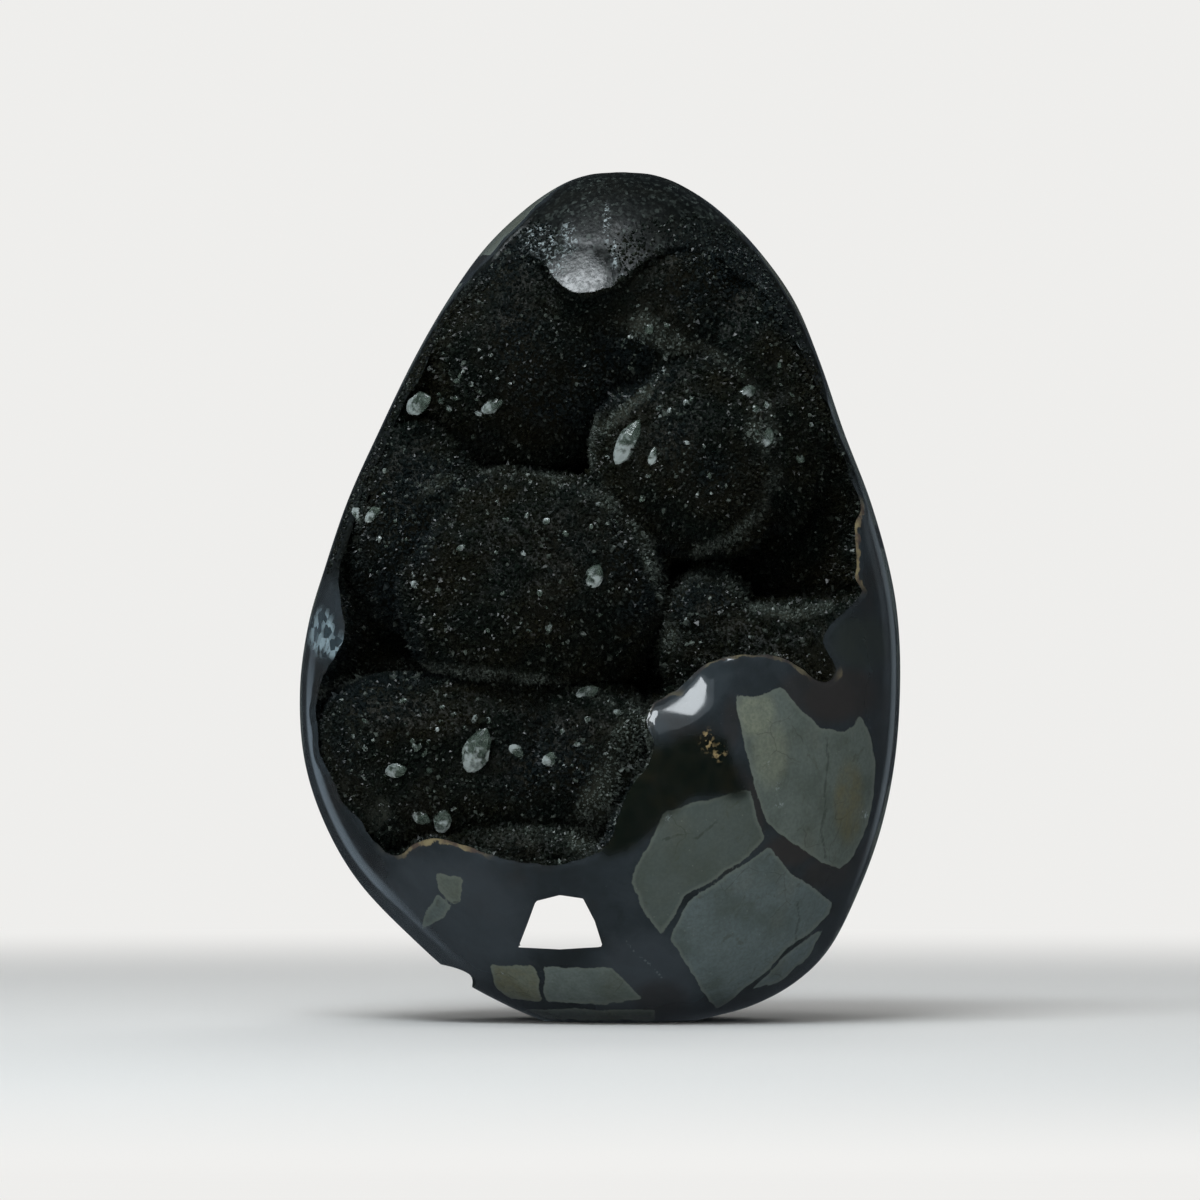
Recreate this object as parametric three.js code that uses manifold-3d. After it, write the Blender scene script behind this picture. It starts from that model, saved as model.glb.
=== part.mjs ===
// A septarian nodule, ground and polished into an upright egg that stands on a small flat spot.
// Its front is an open hollow full of rounded lumps, lined all over by a crust of small dark crystals, and a
// window goes right through the stone under the hollow. Millimetres, +Z up, the open side faces -Y.
import * as THREE from "three";
import { mergeVertices } from "three/addons/utils/BufferGeometryUtils.js";
import Module from "manifold-3d";

const wasm = await Module();
wasm.setup();

// Driving dimensions of the polished egg
const DEPTH_RATIO = 0.84; // depth of each level over its width
const FOOT_SPREAD = 2.5; // extra half depth at the flat spot
const FOOT_FADE = 14; // height over which that extra depth fades away

// The egg seen from the front, from the flat spot up: [height, left edge, right edge].
const EGG_LEVELS = [
  [0, -10.5, 17.5],
  [2.6, -16.5, 27.0],
  [7.0, -24.5, 35.0],
  [13.3, -32.0, 41.0],
  [23.9, -42.3, 46.2],
  [34.5, -48.6, 49.9],
  [46.0, -52.3, 52.2],
  [58.4, -53.1, 53.1],
  [70.0, -51.6, 52.8],
  [80.0, -48.7, 51.2],
  [92.0, -44.6, 47.8],
  [104.0, -39.2, 43.2],
  [116.8, -33.0, 38.8],
  [127.4, -26.9, 34.3],
  [136.5, -20.4, 27.8],
  [143.4, -13.3, 20.9],
  [147.6, -7.2, 14.6],
  [149.5, -2.2, 9.6],
  [150.0, 2.6, 4.8],
];
const EGG_RINGS = 24;
const EGG_SIDES = 32;

// The mouth of the hollow seen from the front, anticlockwise from its top left: [x, height].
const MOUTH = [
  [-26.5, 125.3],
  [-34.0, 111.5],
  [-41.1, 97.3],
  [-46.0, 84.1],
  [-47.1, 77.9],
  [-46.0, 72.9],
  [-45.5, 68.0],
  [-47.6, 63.7],
  [-49.4, 58.8],
  [-50.4, 54.0],
  [-49.6, 48.1],
  [-47.1, 42.8],
  [-43.7, 37.7],
  [-40.4, 32.9],
  [-36.6, 29.6],
  [-32.2, 31.3],
  [-28.3, 32.7],
  [-19.5, 29.8],
  [-14.2, 28.6],
  [-1.1, 30.1],
  [3.2, 36.8],
  [5.7, 40.7],
  [8.3, 44.6],
  [9.3, 48.7],
  [8.6, 53.0],
  [10.2, 56.4],
  [14.2, 58.6],
  [17.7, 61.1],
  [20.8, 63.4],
  [25.7, 64.4],
  [31.0, 64.4],
  [34.6, 62.6],
  [37.0, 60.8],
  [39.9, 60.4],
  [41.2, 63.0],
  [39.2, 67.3],
  [40.6, 70.8],
  [43.8, 73.2],
  [46.4, 75.6],
  [45.1, 79.3],
  [46.3, 90.6],
  [44.2, 97.0],
  [37.5, 114.7],
  [27.4, 130.6],
  [17.7, 135.9],
  [7.6, 134.2],
  [1.4, 128.6],
  [-3.9, 127.6],
  [-9.4, 132.6],
  [-14.9, 135.4],
];
const MOUTH_STEPS = 1; // straight steps between two of those points
const HOLLOW_MIDDLE = [-1, 80]; // the walls close in on this point, [x, height]
const WALL_START = -14; // the walls run straight back to this depth and then close in
const HOLLOW_BACK = 14; // depth of the back wall
const FRONT_REACH = -70; // depth in front of the egg, where the cut starts
const BACK_SHARE = 0.3; // size of the flat end of the back wall over the mouth
const CLOSING_RINGS = [0.95, 0.75, 0.4]; // where the closing part has rings, as shares of its depth
const WALL_UNEVENNESS = 0.7;
const WALL_BUMP = 17; // size of the bumps on the walls
const WALL_SEED = 0.5;

// The lumps that fill the hollow: middle [x, depth, height], half sizes, and squareness, which is 2 for an
// ellipsoid. A higher detail gives a lump more facets.
const LUMPS = {
  left_brow: { at: [-13, 8, 121], half: [20.5, 27.5, 24.5], square: 2.2, seed: 1, detail: 3 },
  middle_brow: { at: [9, 7, 127], half: [17, 28, 15], square: 2.3, seed: 13, detail: 2 },
  right_brow: { at: [27.5, 8, 112], half: [17, 24, 26], square: 2.4, seed: 2, detail: 2 },
  upper_boulder: { at: [14.4, -2, 98.2], half: [16.4, 26, 16.2], square: 2.6, seed: 3, detail: 3 },
  upper_boulder_crown: { at: [16.6, -2, 108], half: [11.6, 20, 11], square: 2.1, seed: 4, detail: 2 },
  left_boulder: { at: [-32.5, 5, 87.5], half: [13.5, 23, 19.5], square: 2.3, seed: 6, detail: 2 },
  middle_boulder: { at: [-12.3, 0, 77], half: [24, 35, 20], square: 2.5, seed: 7, detail: 3 },
  small_dome: { at: [18.8, -6, 70.8], half: [8.2, 21, 9], square: 2.1, seed: 8, detail: 2 },
  right_ledge: { at: [34, -6, 65.3], half: [24, 24, 8.6], square: 2.8, seed: 9, detail: 2 },
  broad_shelf: { at: [-23.5, 1, 46.2], half: [25.5, 30.5, 15.4], square: 3.2, seed: 10, detail: 3 },
  shelf_flank: { at: [-2, -2.5, 46.3], half: [11.6, 31, 13], square: 3, seed: 11, detail: 2 },
  lower_lip: { at: [-13, -9, 29.6], half: [17, 24, 6.4], square: 2.6, seed: 12, detail: 2 },
};
const LUMP_UNEVENNESS = 0.045; // share of a lump's size
const LUMP_BUMP = 1.4; // size of the bumps on a lump, as a share of its half size
const HIDDEN_INSET = 0.6; // how much deeper a lump's hidden surfaces lie, because they have fewer facets

// The crystal crust on the walls and lumps
const CRUST = 1.2;
const CLEARANCE = 0.3; // between the crust and the stone behind it

// The window through the stone, seen from the front: [x, height].
const WINDOW = [
  [-14.0, 14.0],
  [-7.0, 13.6],
  [0.4, 14.0],
  [-0.9, 18.4],
  [-2.9, 22.4],
  [-7.0, 23.0],
  [-11.2, 21.9],
  [-12.4, 18.4],
];
const WINDOW_STEPS = 1;
const WINDOW_FLARE = 1.35; // size at the back over the front
const WINDOW_DROP = 2; // how much lower its back end is
const WINDOW_MIDDLE = [-6.7, 18];
const WINDOW_REACH = 34; // depth where it is as stated, in front, and flared, at the back
const WINDOW_OVERRUN = 10; // how much further the cut runs at both ends

// The worn notch in the left edge above the flat spot
const NOTCH = { at: [-27.6, -3, 7.3], half: [6.3, 19, 2.6], square: 2, seed: 12, detail: 2 };

// Larger pale crystals that stand on the crust: [x, height, length, width, lean from upright in degrees].
const BLADES = [
  [-32.7, 109.2, 5.6, 4.2, 80],
  [-18.6, 108.4, 4.8, 2.6, 65],
  [4.8, 101.8, 9.0, 3.9, 28],
  [9.2, 99.4, 3.4, 1.8, 15],
  [-42.4, 89.2, 4.6, 2.2, 125],
  [-39.6, 89.4, 4.2, 2.2, 50],
  [-0.9, 78.4, 4.4, 3.2, 20],
  [9.7, 63.7, 3.8, 2.4, 40],
  [-2.3, 57.8, 4.8, 3.0, 60],
  [-23.0, 60.5, 3.6, 2.4, 100],
  [-21.2, 48.2, 8.6, 4.8, 25],
  [-14.5, 47.9, 3.2, 2.2, 130],
  [-8.5, 46.6, 3.4, 2.4, 70],
  [-35.4, 44.6, 4.2, 2.6, 80],
  [-27.3, 35.9, 4.6, 3.4, 15],
  [-31.0, 36.4, 3.6, 2.4, 110],
  [25.7, 110.6, 3.8, 2.6, 60],
  [29.2, 102.7, 3.6, 2.4, 30],
];
const BLADE_SIDES = 6;
const BLADE_FLATNESS = 0.6; // thickness over width
// A blade from one pointed end to the other: [radius over width, height over length].
const BLADE_PROFILE = [
  [0, -0.5],
  [0.5, -0.275],
  [0.5, 0.25],
  [0, 0.5],
];

const SURROUNDINGS = [300, 300, 400]; // a block much larger than the egg
const WELD = 1e-4; // points closer than this are one

const STONE_COLOUR = 0x2b3238;
const CRUST_COLOUR = 0x1a1b18;

// Smooth, repeatable unevenness from about -1 to 1, whose bumps are about `size` across.
function unevenness(x, y, z, size, seed) {
  const k = (2 * Math.PI) / size;
  return (
    (Math.sin(k * (x + 0.37 * z) + seed) * Math.sin(k * (0.93 * y - 0.41 * x) + 2.1 * seed) +
      Math.sin(k * (0.88 * z + 0.52 * y) + 3.7 * seed) * Math.sin(k * (0.71 * x - 0.64 * z) + 1.3 * seed)) *
    0.7
  );
}

function solidOf(geometry) {
  const bare = geometry.clone();
  bare.deleteAttribute("normal");
  bare.deleteAttribute("uv");
  const merged = mergeVertices(bare, WELD);
  const vertProperties = new Float32Array(merged.attributes.position.array);
  const triVerts = new Uint32Array(merged.index.array);
  return new wasm.Manifold(new wasm.Mesh({ numProp: 3, vertProperties, triVerts }));
}

function meshOf(name, solid, material) {
  const { vertProperties, triVerts } = solid.getMesh();
  const geometry = new THREE.BufferGeometry();
  geometry.setAttribute("position", new THREE.BufferAttribute(vertProperties, 3));
  geometry.setIndex(new THREE.BufferAttribute(triVerts, 1));
  geometry.computeVertexNormals();
  const mesh = new THREE.Mesh(geometry, material);
  mesh.name = name;
  return mesh;
}

// A closed geometry through rings of Vector3 that run anticlockwise seen from +Z and rise along +Z.
function loft(rings) {
  const count = rings[0].length;
  const faces = [];
  for (let r = 0; r + 1 < rings.length; r++) {
    for (let i = 0; i < count; i++) {
      const a = r * count + i;
      const b = r * count + ((i + 1) % count);
      faces.push(a, b, b + count, a, b + count, a + count);
    }
  }
  const capOf = (ring) => THREE.ShapeUtils.triangulateShape(ring.map((p) => new THREE.Vector2(p.x, p.y)), []);
  const last = (rings.length - 1) * count;
  for (const [a, b, c] of capOf(rings[0])) faces.push(a, c, b);
  for (const [a, b, c] of capOf(rings.at(-1))) faces.push(last + a, last + b, last + c);
  const geometry = new THREE.BufferGeometry().setFromPoints(rings.flat());
  geometry.setIndex(faces);
  return geometry;
}

// The outline through [x, height] points, with each point moved outwards by `growth`.
function grownOutline(points, steps, growth) {
  const knots = points.map(([x, z]) => new THREE.Vector3(x, z, 0));
  const curve = new THREE.CatmullRomCurve3(knots, true, "catmullrom", 0.5);
  const count = knots.length * steps;
  return Array.from({ length: count }, (_, i) => {
    const along = curve.getTangent(i / count);
    return curve.getPoint(i / count).add(new THREE.Vector3(along.y, -along.x, 0).multiplyScalar(growth));
  });
}

// The whole egg before the hollow opened it
function eggSolid() {
  const knots = EGG_LEVELS.map(([height, left, right]) => new THREE.Vector3(left, right, height));
  const edges = new THREE.CatmullRomCurve3(knots, false, "catmullrom", 0.5);
  const rings = Array.from({ length: EGG_RINGS + 1 }, (_, ring) => {
    const { x: left, y: right, z: height } = edges.getPoint(ring / EGG_RINGS);
    const halfWidth = (right - left) / 2;
    const halfDepth = halfWidth * DEPTH_RATIO + FOOT_SPREAD * Math.exp(-height / FOOT_FADE);
    return Array.from({ length: EGG_SIDES }, (_, side) => {
      const angle = (2 * Math.PI * side) / EGG_SIDES;
      return new THREE.Vector3(left + halfWidth * (1 + Math.cos(angle)), halfDepth * Math.sin(angle), height);
    });
  });
  return solidOf(loft(rings));
}

// The hollow with no lumps in it, with its walls moved out by `growth`. It is lofted towards the viewer, so
// its local axes x, y, z are the object's x, z and -y.
function hollowSolid(growth) {
  const outline = grownOutline(MOUTH, MOUTH_STEPS, 0);
  const grown = grownOutline(MOUTH, MOUTH_STEPS, 1);
  const [middleX, middleZ] = HOLLOW_MIDDLE;
  const ringAt = (depth, share, wallGrowth) =>
    outline.map((p, i) => {
      const rough = WALL_UNEVENNESS * unevenness(p.x, depth, p.y, WALL_BUMP, WALL_SEED);
      const out = grown[i].clone().sub(p).multiplyScalar(wallGrowth + rough);
      return new THREE.Vector3(
        middleX + (p.x - middleX) * share + out.x,
        middleZ + (p.y - middleZ) * share + out.y,
        -depth,
      );
    });
  const back = HOLLOW_BACK - WALL_START;
  const closing = CLOSING_RINGS.map((depthShare) => {
    const share = BACK_SHARE + (1 - BACK_SHARE) * Math.sqrt(1 - depthShare ** 2);
    return ringAt(WALL_START + depthShare * back + growth, share, growth);
  });
  const straight = [WALL_START, FRONT_REACH].map((depth) => ringAt(depth, 1, growth));
  return solidOf(loft([...closing, ...straight]).rotateX(Math.PI / 2));
}

// One rounded lump, with its surface moved out by `growth`
function lumpSolid({ at, half, square, seed }, growth, detail) {
  const geometry = new THREE.IcosahedronGeometry(1, detail);
  const points = geometry.attributes.position;
  for (let i = 0; i < points.count; i++) {
    const [x, y, z] = [points.getX(i), points.getY(i), points.getZ(i)];
    const round = (Math.abs(x) ** square + Math.abs(y) ** square + Math.abs(z) ** square) ** (-1 / square);
    const swell = 1 + LUMP_UNEVENNESS * unevenness(x, y, z, LUMP_BUMP, seed);
    const [px, py, pz] = [x, y, z].map((c, k) => at[k] + c * round * (half[k] * swell + growth));
    points.setXYZ(i, px, py, pz);
  }
  return solidOf(geometry);
}

// The empty space in the hollow. A positive growth moves its surface into the stone, both walls and lumps. It
// is hidden there, so the lumps have fewer facets.
function spaceSolid(growth) {
  const hidden = growth > 0;
  let space = hollowSolid(growth);
  for (const lump of Object.values(LUMPS)) {
    const lumpGrowth = hidden ? -growth - HIDDEN_INSET : 0;
    const detail = hidden ? lump.detail - 1 : lump.detail;
    space = space.subtract(lumpSolid(lump, lumpGrowth, detail));
  }
  return largestOf(space);
}

function largestOf(solid) {
  const bodies = solid.decompose();
  return bodies.reduce((best, body) => (body.volume() > best.volume() ? body : best));
}

function windowSolid() {
  const outline = grownOutline(WINDOW, WINDOW_STEPS, 0);
  const [middleX, middleZ] = WINDOW_MIDDLE;
  const ringAt = (depth) => {
    const backness = (depth + WINDOW_REACH) / (2 * WINDOW_REACH);
    const share = 1 + (WINDOW_FLARE - 1) * backness;
    const backMiddleZ = middleZ - WINDOW_DROP * backness;
    return outline.map((p) => {
      const x = middleX + (p.x - middleX) * share;
      const z = backMiddleZ + (p.y - middleZ) * share;
      return new THREE.Vector3(x, z, -depth);
    });
  };
  const end = WINDOW_REACH + WINDOW_OVERRUN;
  const rings = [end, -end].map(ringAt);
  return solidOf(loft(rings).rotateX(Math.PI / 2));
}

// One pale crystal: a six-sided prism with pointed ends, half sunk where a line from the front meets the crust.
function bladeSolid([x, height, length, width, lean], crustMesh) {
  const ray = new THREE.Raycaster(new THREE.Vector3(x, FRONT_REACH, height), new THREE.Vector3(0, 1, 0));
  const [hit] = ray.intersectObject(crustMesh);
  const profile = BLADE_PROFILE.map(([r, h]) => new THREE.Vector2(r * width, h * length));
  const geometry = new THREE.LatheGeometry(profile, BLADE_SIDES);
  geometry.scale(1, 1, BLADE_FLATNESS);
  geometry.rotateX(Math.PI / 2).rotateY(THREE.MathUtils.degToRad(lean));
  geometry.translate(x, hit.point.y, height);
  return solidOf(geometry);
}

function crustSolid(egg) {
  const shell = spaceSolid(CRUST).subtract(spaceSolid(0));
  const shellMesh = meshOf("crust_without_blades", shell, new THREE.MeshBasicMaterial());
  const blades = BLADES.map((blade) => bladeSolid(blade, shellMesh));
  const bladed = blades.reduce((crust, blade) => crust.add(blade.subtract(spaceBehind)), shell);
  return largestOf(bladed.intersect(egg));
}

// What lies deeper than the crust, where no blade may reach
const everything = solidOf(new THREE.BoxGeometry(...SURROUNDINGS));
const spaceBehind = everything.subtract(spaceSolid(CRUST));

const egg = eggSolid();
const notch = lumpSolid(NOTCH, 0, NOTCH.detail);
const stone = largestOf(egg.subtract(spaceSolid(CRUST + CLEARANCE)).subtract(windowSolid()).subtract(notch));
const crust = crustSolid(egg);

const stoneMaterial = new THREE.MeshStandardMaterial({ color: STONE_COLOUR, roughness: 0.12, metalness: 0 });
const crustMaterial = new THREE.MeshStandardMaterial({ color: CRUST_COLOUR, roughness: 0.45, metalness: 0 });

const nodule = new THREE.Group();
nodule.name = "septarian_nodule";
nodule.add(meshOf("polished_nodule", stone, stoneMaterial));
nodule.add(meshOf("crystal_crust", crust, crustMaterial));

export default nodule;
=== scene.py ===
# The looks of a septarian nodule: a polished upright egg of grey stone and dark veins, whose front is an open
# hollow lined all over by small dark crystals. Sizes are in millimetres and become metres in mesh_object.
import math

import bpy
import numpy as np
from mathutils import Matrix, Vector
from mathutils.bvhtree import BVHTree


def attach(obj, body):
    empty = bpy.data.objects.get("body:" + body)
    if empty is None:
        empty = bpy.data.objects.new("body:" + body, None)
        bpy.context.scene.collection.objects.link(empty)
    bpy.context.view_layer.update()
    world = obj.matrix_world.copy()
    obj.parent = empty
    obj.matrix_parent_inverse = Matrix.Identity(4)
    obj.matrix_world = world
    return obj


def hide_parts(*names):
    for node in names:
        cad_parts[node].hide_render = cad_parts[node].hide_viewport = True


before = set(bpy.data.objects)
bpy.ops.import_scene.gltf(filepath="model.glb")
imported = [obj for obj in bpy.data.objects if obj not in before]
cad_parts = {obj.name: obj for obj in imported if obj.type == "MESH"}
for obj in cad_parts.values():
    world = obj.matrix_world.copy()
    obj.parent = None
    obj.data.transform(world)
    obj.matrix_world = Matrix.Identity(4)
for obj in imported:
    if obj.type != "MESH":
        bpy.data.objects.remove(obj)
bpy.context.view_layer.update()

MM = 0.001
TINY = 1e-9  # keeps divisions away from zero
FAR = 20.0  # markings further off than this are all the same

# The same driving dimensions as the solids have
DEPTH_RATIO = 0.835
FOOT_SPREAD = 2.5
FOOT_FADE = 14.0
EGG_LEVELS = [
    (0, -10.5, 17.5), (2.6, -16.5, 27.0), (7.0, -24.5, 35.0), (13.3, -32.0, 41.0), (23.9, -42.3, 46.2),
    (34.5, -48.6, 49.9), (46.0, -52.3, 52.2), (58.4, -53.1, 53.1), (70.0, -51.6, 52.8), (80.0, -48.7, 51.2),
    (92.0, -44.6, 47.8), (104.0, -39.2, 43.2), (116.8, -33.0, 38.8), (127.4, -26.9, 34.3),
    (136.5, -20.4, 27.8), (143.4, -13.3, 20.9), (147.6, -7.2, 14.6), (149.5, -2.2, 9.6), (150.0, 2.6, 4.8),
]
MOUTH = [
    (-26.5, 125.3), (-34.0, 111.5), (-41.1, 97.3), (-46.0, 84.1), (-47.1, 77.9), (-46.0, 72.9), (-45.5, 68.0),
    (-47.6, 63.7), (-49.4, 58.8), (-50.4, 54.0), (-49.6, 48.1), (-47.1, 42.8), (-43.7, 37.7), (-40.4, 32.9),
    (-36.6, 29.6), (-32.2, 31.3), (-28.3, 32.7), (-19.5, 29.8), (-14.2, 28.6), (-1.1, 30.1), (3.2, 36.8),
    (5.7, 40.7), (8.3, 44.6), (9.3, 48.7), (8.6, 53.0), (10.2, 56.4), (14.2, 58.6), (17.7, 61.1),
    (20.8, 63.4), (25.7, 64.4), (31.0, 64.4), (34.6, 62.6), (37.0, 60.8), (39.9, 60.4), (41.2, 63.0),
    (39.2, 67.3), (40.6, 70.8), (43.8, 73.2), (46.4, 75.6), (45.1, 79.3), (46.3, 90.6), (44.2, 97.0),
    (37.5, 114.7), (27.4, 130.6), (17.7, 135.9), (7.6, 134.2), (1.4, 128.6), (-3.9, 127.6),
    (-9.4, 132.6), (-14.9, 135.4),
]
HOLLOW_MIDDLE = (-1.0, 80.0)
WALL_START = -14.0
HOLLOW_BACK = 14.0
BACK_SHARE = 0.3
BACK_LIMIT = 0.95
WALL_UNEVENNESS = 0.7
LUMP_UNEVENNESS = 0.045

# The lumps in the hollow: middle, half sizes, squareness and seed
LUMPS = {
    "left_brow": ((-13, 8, 121), (20.5, 27.5, 24.5), 2.2, 1),
    "middle_brow": ((9, 7, 127), (17, 28, 15), 2.3, 13),
    "right_brow": ((27.5, 8, 112), (17, 24, 26), 2.4, 2),
    "upper_boulder": ((14.4, -2, 98.2), (16.4, 26, 16.2), 2.6, 3),
    "upper_boulder_crown": ((16.6, -2, 108), (11.6, 20, 11), 2.1, 4),
    "left_boulder": ((-32.5, 5, 87.5), (13.5, 23, 19.5), 2.3, 6),
    "middle_boulder": ((-12.3, 0, 77), (24, 35, 20), 2.5, 7),
    "small_dome": ((18.8, -6, 70.8), (8.2, 21, 9), 2.1, 8),
    "right_ledge": ((34, -6, 65.3), (24, 24, 8.6), 2.8, 9),
    "broad_shelf": ((-23.5, 1, 46.2), (25.5, 30.5, 15.4), 3.2, 10),
    "shelf_flank": ((-2, -2.5, 46.3), (11.6, 31, 13), 3.0, 11),
    "lower_lip": ((-13, -9, 29.6), (17, 24, 6.4), 2.6, 12),
}
LUMP_BLEND = 1.2  # how softly two lumps run into each other
LUMP_INSET = 1.0  # how far every lump stays under the polished outline

WINDOW = [(-14.0, 14.0), (-7.0, 13.6), (0.4, 14.0), (-0.9, 18.4), (-2.9, 22.4), (-7.0, 23.0), (-11.2, 21.9),
          (-12.4, 18.4)]
WINDOW_FLARE = 1.35
WINDOW_DROP = 2.0
WINDOW_MIDDLE = (-6.7, 18.0)
WINDOW_REACH = 34.0
NOTCH_AT = (-27.6, -3.0, 7.3)
NOTCH_HALF = (6.3, 19.0, 2.6)

# Larger pale crystals: x, height, length, width, lean from upright in degrees
BLADES = [
    (-32.7, 109.2, 5.6, 4.2, 80), (-18.6, 108.4, 4.8, 2.6, 65), (4.8, 101.8, 9.0, 3.9, 28),
    (9.2, 99.4, 3.4, 1.8, 15), (-42.4, 89.2, 4.6, 2.2, 125), (-39.6, 89.4, 4.2, 2.2, 50),
    (-0.9, 78.4, 4.4, 3.2, 20), (9.7, 63.7, 3.8, 2.4, 40), (-2.3, 57.8, 4.8, 3.0, 60),
    (-23.0, 60.5, 3.6, 2.4, 100), (-21.2, 48.2, 8.6, 4.8, 25), (-14.5, 47.9, 3.2, 2.2, 130),
    (-8.5, 46.6, 3.4, 2.4, 70), (-35.4, 44.6, 4.2, 2.6, 80), (-27.3, 35.9, 4.6, 3.4, 15),
    (-31.0, 36.4, 3.6, 2.4, 110), (25.7, 110.6, 3.8, 2.6, 60), (29.2, 102.7, 3.6, 2.4, 30),
]

# Pieces of grey matrix on the polished front: outline of (x, height), then how pale, olive and blue it is
MATRIX_PIECES = [
    ([(23.5, 57.8), (26.7, 57.5), (31.3, 59.1), (32.3, 58.2), (35.2, 54.9), (38.4, 52.0), (42.3, 51.3),
      (44.3, 52.3), (45.3, 54.1), (46.9, 51.7), (48.2, 45.8), (48.2, 40.0), (46.9, 34.7), (44.3, 28.9),
      (42.3, 27.3), (38.4, 28.7), (33.2, 32.0), (29.0, 35.6), (27.1, 41.2), (24.8, 50.4), (23.8, 55.6)],
     0.5, 0.05, 0.2),
    ([(8.5, 32.1), (11.1, 37.7), (18.2, 39.3), (26.1, 41.6), (27.2, 36.5), (28.7, 32.4), (25.1, 29.0),
      (19.9, 25.6), (14.8, 22.7), (12.6, 19.0), (10.3, 16.2), (7.5, 20.4), (5.3, 25.7), (5.9, 28.2)],
     0.0, 0.1, 0.2),
    ([(29.4, 31.1), (34.5, 25.9), (38.4, 23.2), (40.7, 21.0), (40.2, 19.0), (37.5, 16.6), (34.5, 14.6),
      (29.3, 9.0), (20.6, 2.3), (17.9, 5.5), (15.7, 10.0), (11.8, 15.6), (14.4, 20.1), (17.0, 23.0),
      (21.5, 25.8), (25.6, 28.4)], 0.5, 0.0, 0.75),
    ([(39.1, 16.0), (38.4, 16.4), (34.5, 13.6), (31.3, 10.4), (26.7, 5.6), (31.9, 7.4), (37.1, 11.8)],
     0.7, 0.0, 0.9),
    ([(-28.5, 26.7), (-23.7, 26.0), (-24.4, 21.8), (-25.7, 21.4), (-28.1, 24.2)], 0.35, 0.25, 0.2),
    ([(-28.1, 23.2), (-25.7, 21.1), (-27.4, 19.1), (-31.3, 16.3), (-30.6, 19.8)], 0.3, 0.1, 0.5),
    ([(-19.1, 10.5), (-11.8, 10.4), (-10.6, 8.0), (-10.4, 4.1), (-15.8, 4.2), (-18.4, 6.3)], 1.0, 0.75, 0.0),
    ([(-9.9, 10.4), (1.6, 10.4), (3.9, 8.3), (7.6, 4.6), (0.7, 3.5), (-9.6, 4.0), (-9.5, 8.0)],
     1.0, 0.1, 0.6),
    ([(-14.0, 2.2), (-4.0, 2.6), (9.4, 2.5), (9.4, 0.3), (-8.0, 0.3)], 0.5, 0.2, 0.5),
]
CORNER_CUT = 0.07  # how far every corner of those outlines is cut back, as a share of its sides
EDGE_WARP = 0.3  # how far their edges wander
# Thin cracks in those pieces, as lines of (x, height)
CRACKS = [
    [(39.5, 50.4), (39.8, 46.0), (39.2, 42.0), (39.4, 38.0), (38.6, 34.0), (39.5, 29.0)],
    [(34.5, 21.6), (34.9, 18.6), (34.2, 15.4), (34.6, 12.9)],
    [(20.5, 36.0), (17.0, 33.0), (13.5, 33.5), (10.5, 32.5)],
    [(-25.7, 21.4), (-24.4, 21.8)],
]
# Thin pale scratches, in the same way
SCRATCHES = [
    [(6.7, 12.4), (8.6, 10.9), (10.8, 8.3)], [(4.6, 14.8), (6.0, 13.0)], [(16.6, 16.2), (15.2, 17.4)],
    [(-10.5, 9.2), (-9.0, 9.0)],
]
# Where the polished face has a nearly black translucent field, as an outline of (x, height)
DARK_FIELD = [
    (7.1, 49.4), (12.0, 50.4), (17.7, 51.4), (22.5, 50.6), (23.5, 47.0), (25.2, 41.5), (25.6, 40.6),
    (17.7, 39.3), (11.0, 37.8), (8.3, 34.0), (7.0, 31.8), (4.4, 30.0), (1.6, 29.6), (-0.6, 31.2),
    (0.2, 35.0), (2.4, 40.0), (5.3, 45.1),
]
# The matrix pieces of the sides and back are the cells round scattered points
BACK_SEED = 5
BACK_TRIES = 138
BACK_SPACING = 19.0  # a point nearer than this to an earlier one is left out
BACK_HEIGHTS = (2, 146)
BACK_TURNS = (-0.35, math.pi + 0.35)
BACK_WARPS = [(16, 3.2, (61, 62, 63)), (4, 0.5, (64, 65, 66))]  # size, amount and seeds
BACK_VEIN = 1.9  # mean half width of the veins between them
FRONT_LIMIT = -6.0  # mean depth where the front's markings end
FRONT_SEAM = 1.3  # half width of the vein along that limit
FIELD_FADE = 1.3  # half width of the dark field's soft edge

NOISE_PRIMES = (73856093, 19349663, 83492791)
SEED_FACTOR = 2654435761
MIX_STEPS = ((15, 2246822519), (13, 3266489917))
LAST_SHIFT = 16
HASH_MASK = 0xFFFFFFFF


def catmull_rom(knots, per_step, closed):
    """Points on a uniform Catmull-Rom curve through the knots."""
    knots = np.asarray(knots, float)
    if closed:
        padded = np.vstack([knots[-1], knots, knots[0], knots[1]])
        steps = len(knots)
    else:
        padded = np.vstack([2 * knots[0] - knots[1], knots, 2 * knots[-1] - knots[-2]])
        steps = len(knots) - 1
    t = np.linspace(0, 1, per_step, endpoint=False)[:, None]
    rows = []
    for i in range(steps):
        before, start, end, after = padded[i:i + 4]
        leave, arrive = (end - before) / 2, (after - start) / 2
        rows.append(
            start + leave * t + (3 * (end - start) - 2 * leave - arrive) * t**2
            + (2 * (start - end) + leave + arrive) * t**3
        )
    if not closed:
        rows.append(knots[-1:])
    return np.vstack(rows)


def subdivided(outline, per_side):
    """Evenly spaced points along a closed outline with straight sides."""
    outline = np.asarray(outline, float)
    t = np.linspace(0, 1, per_side, endpoint=False)[:, None]
    sides = [start * (1 - t) + end * t for start, end in zip(outline, np.roll(outline, -1, axis=0))]
    return np.vstack(sides)


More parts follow.
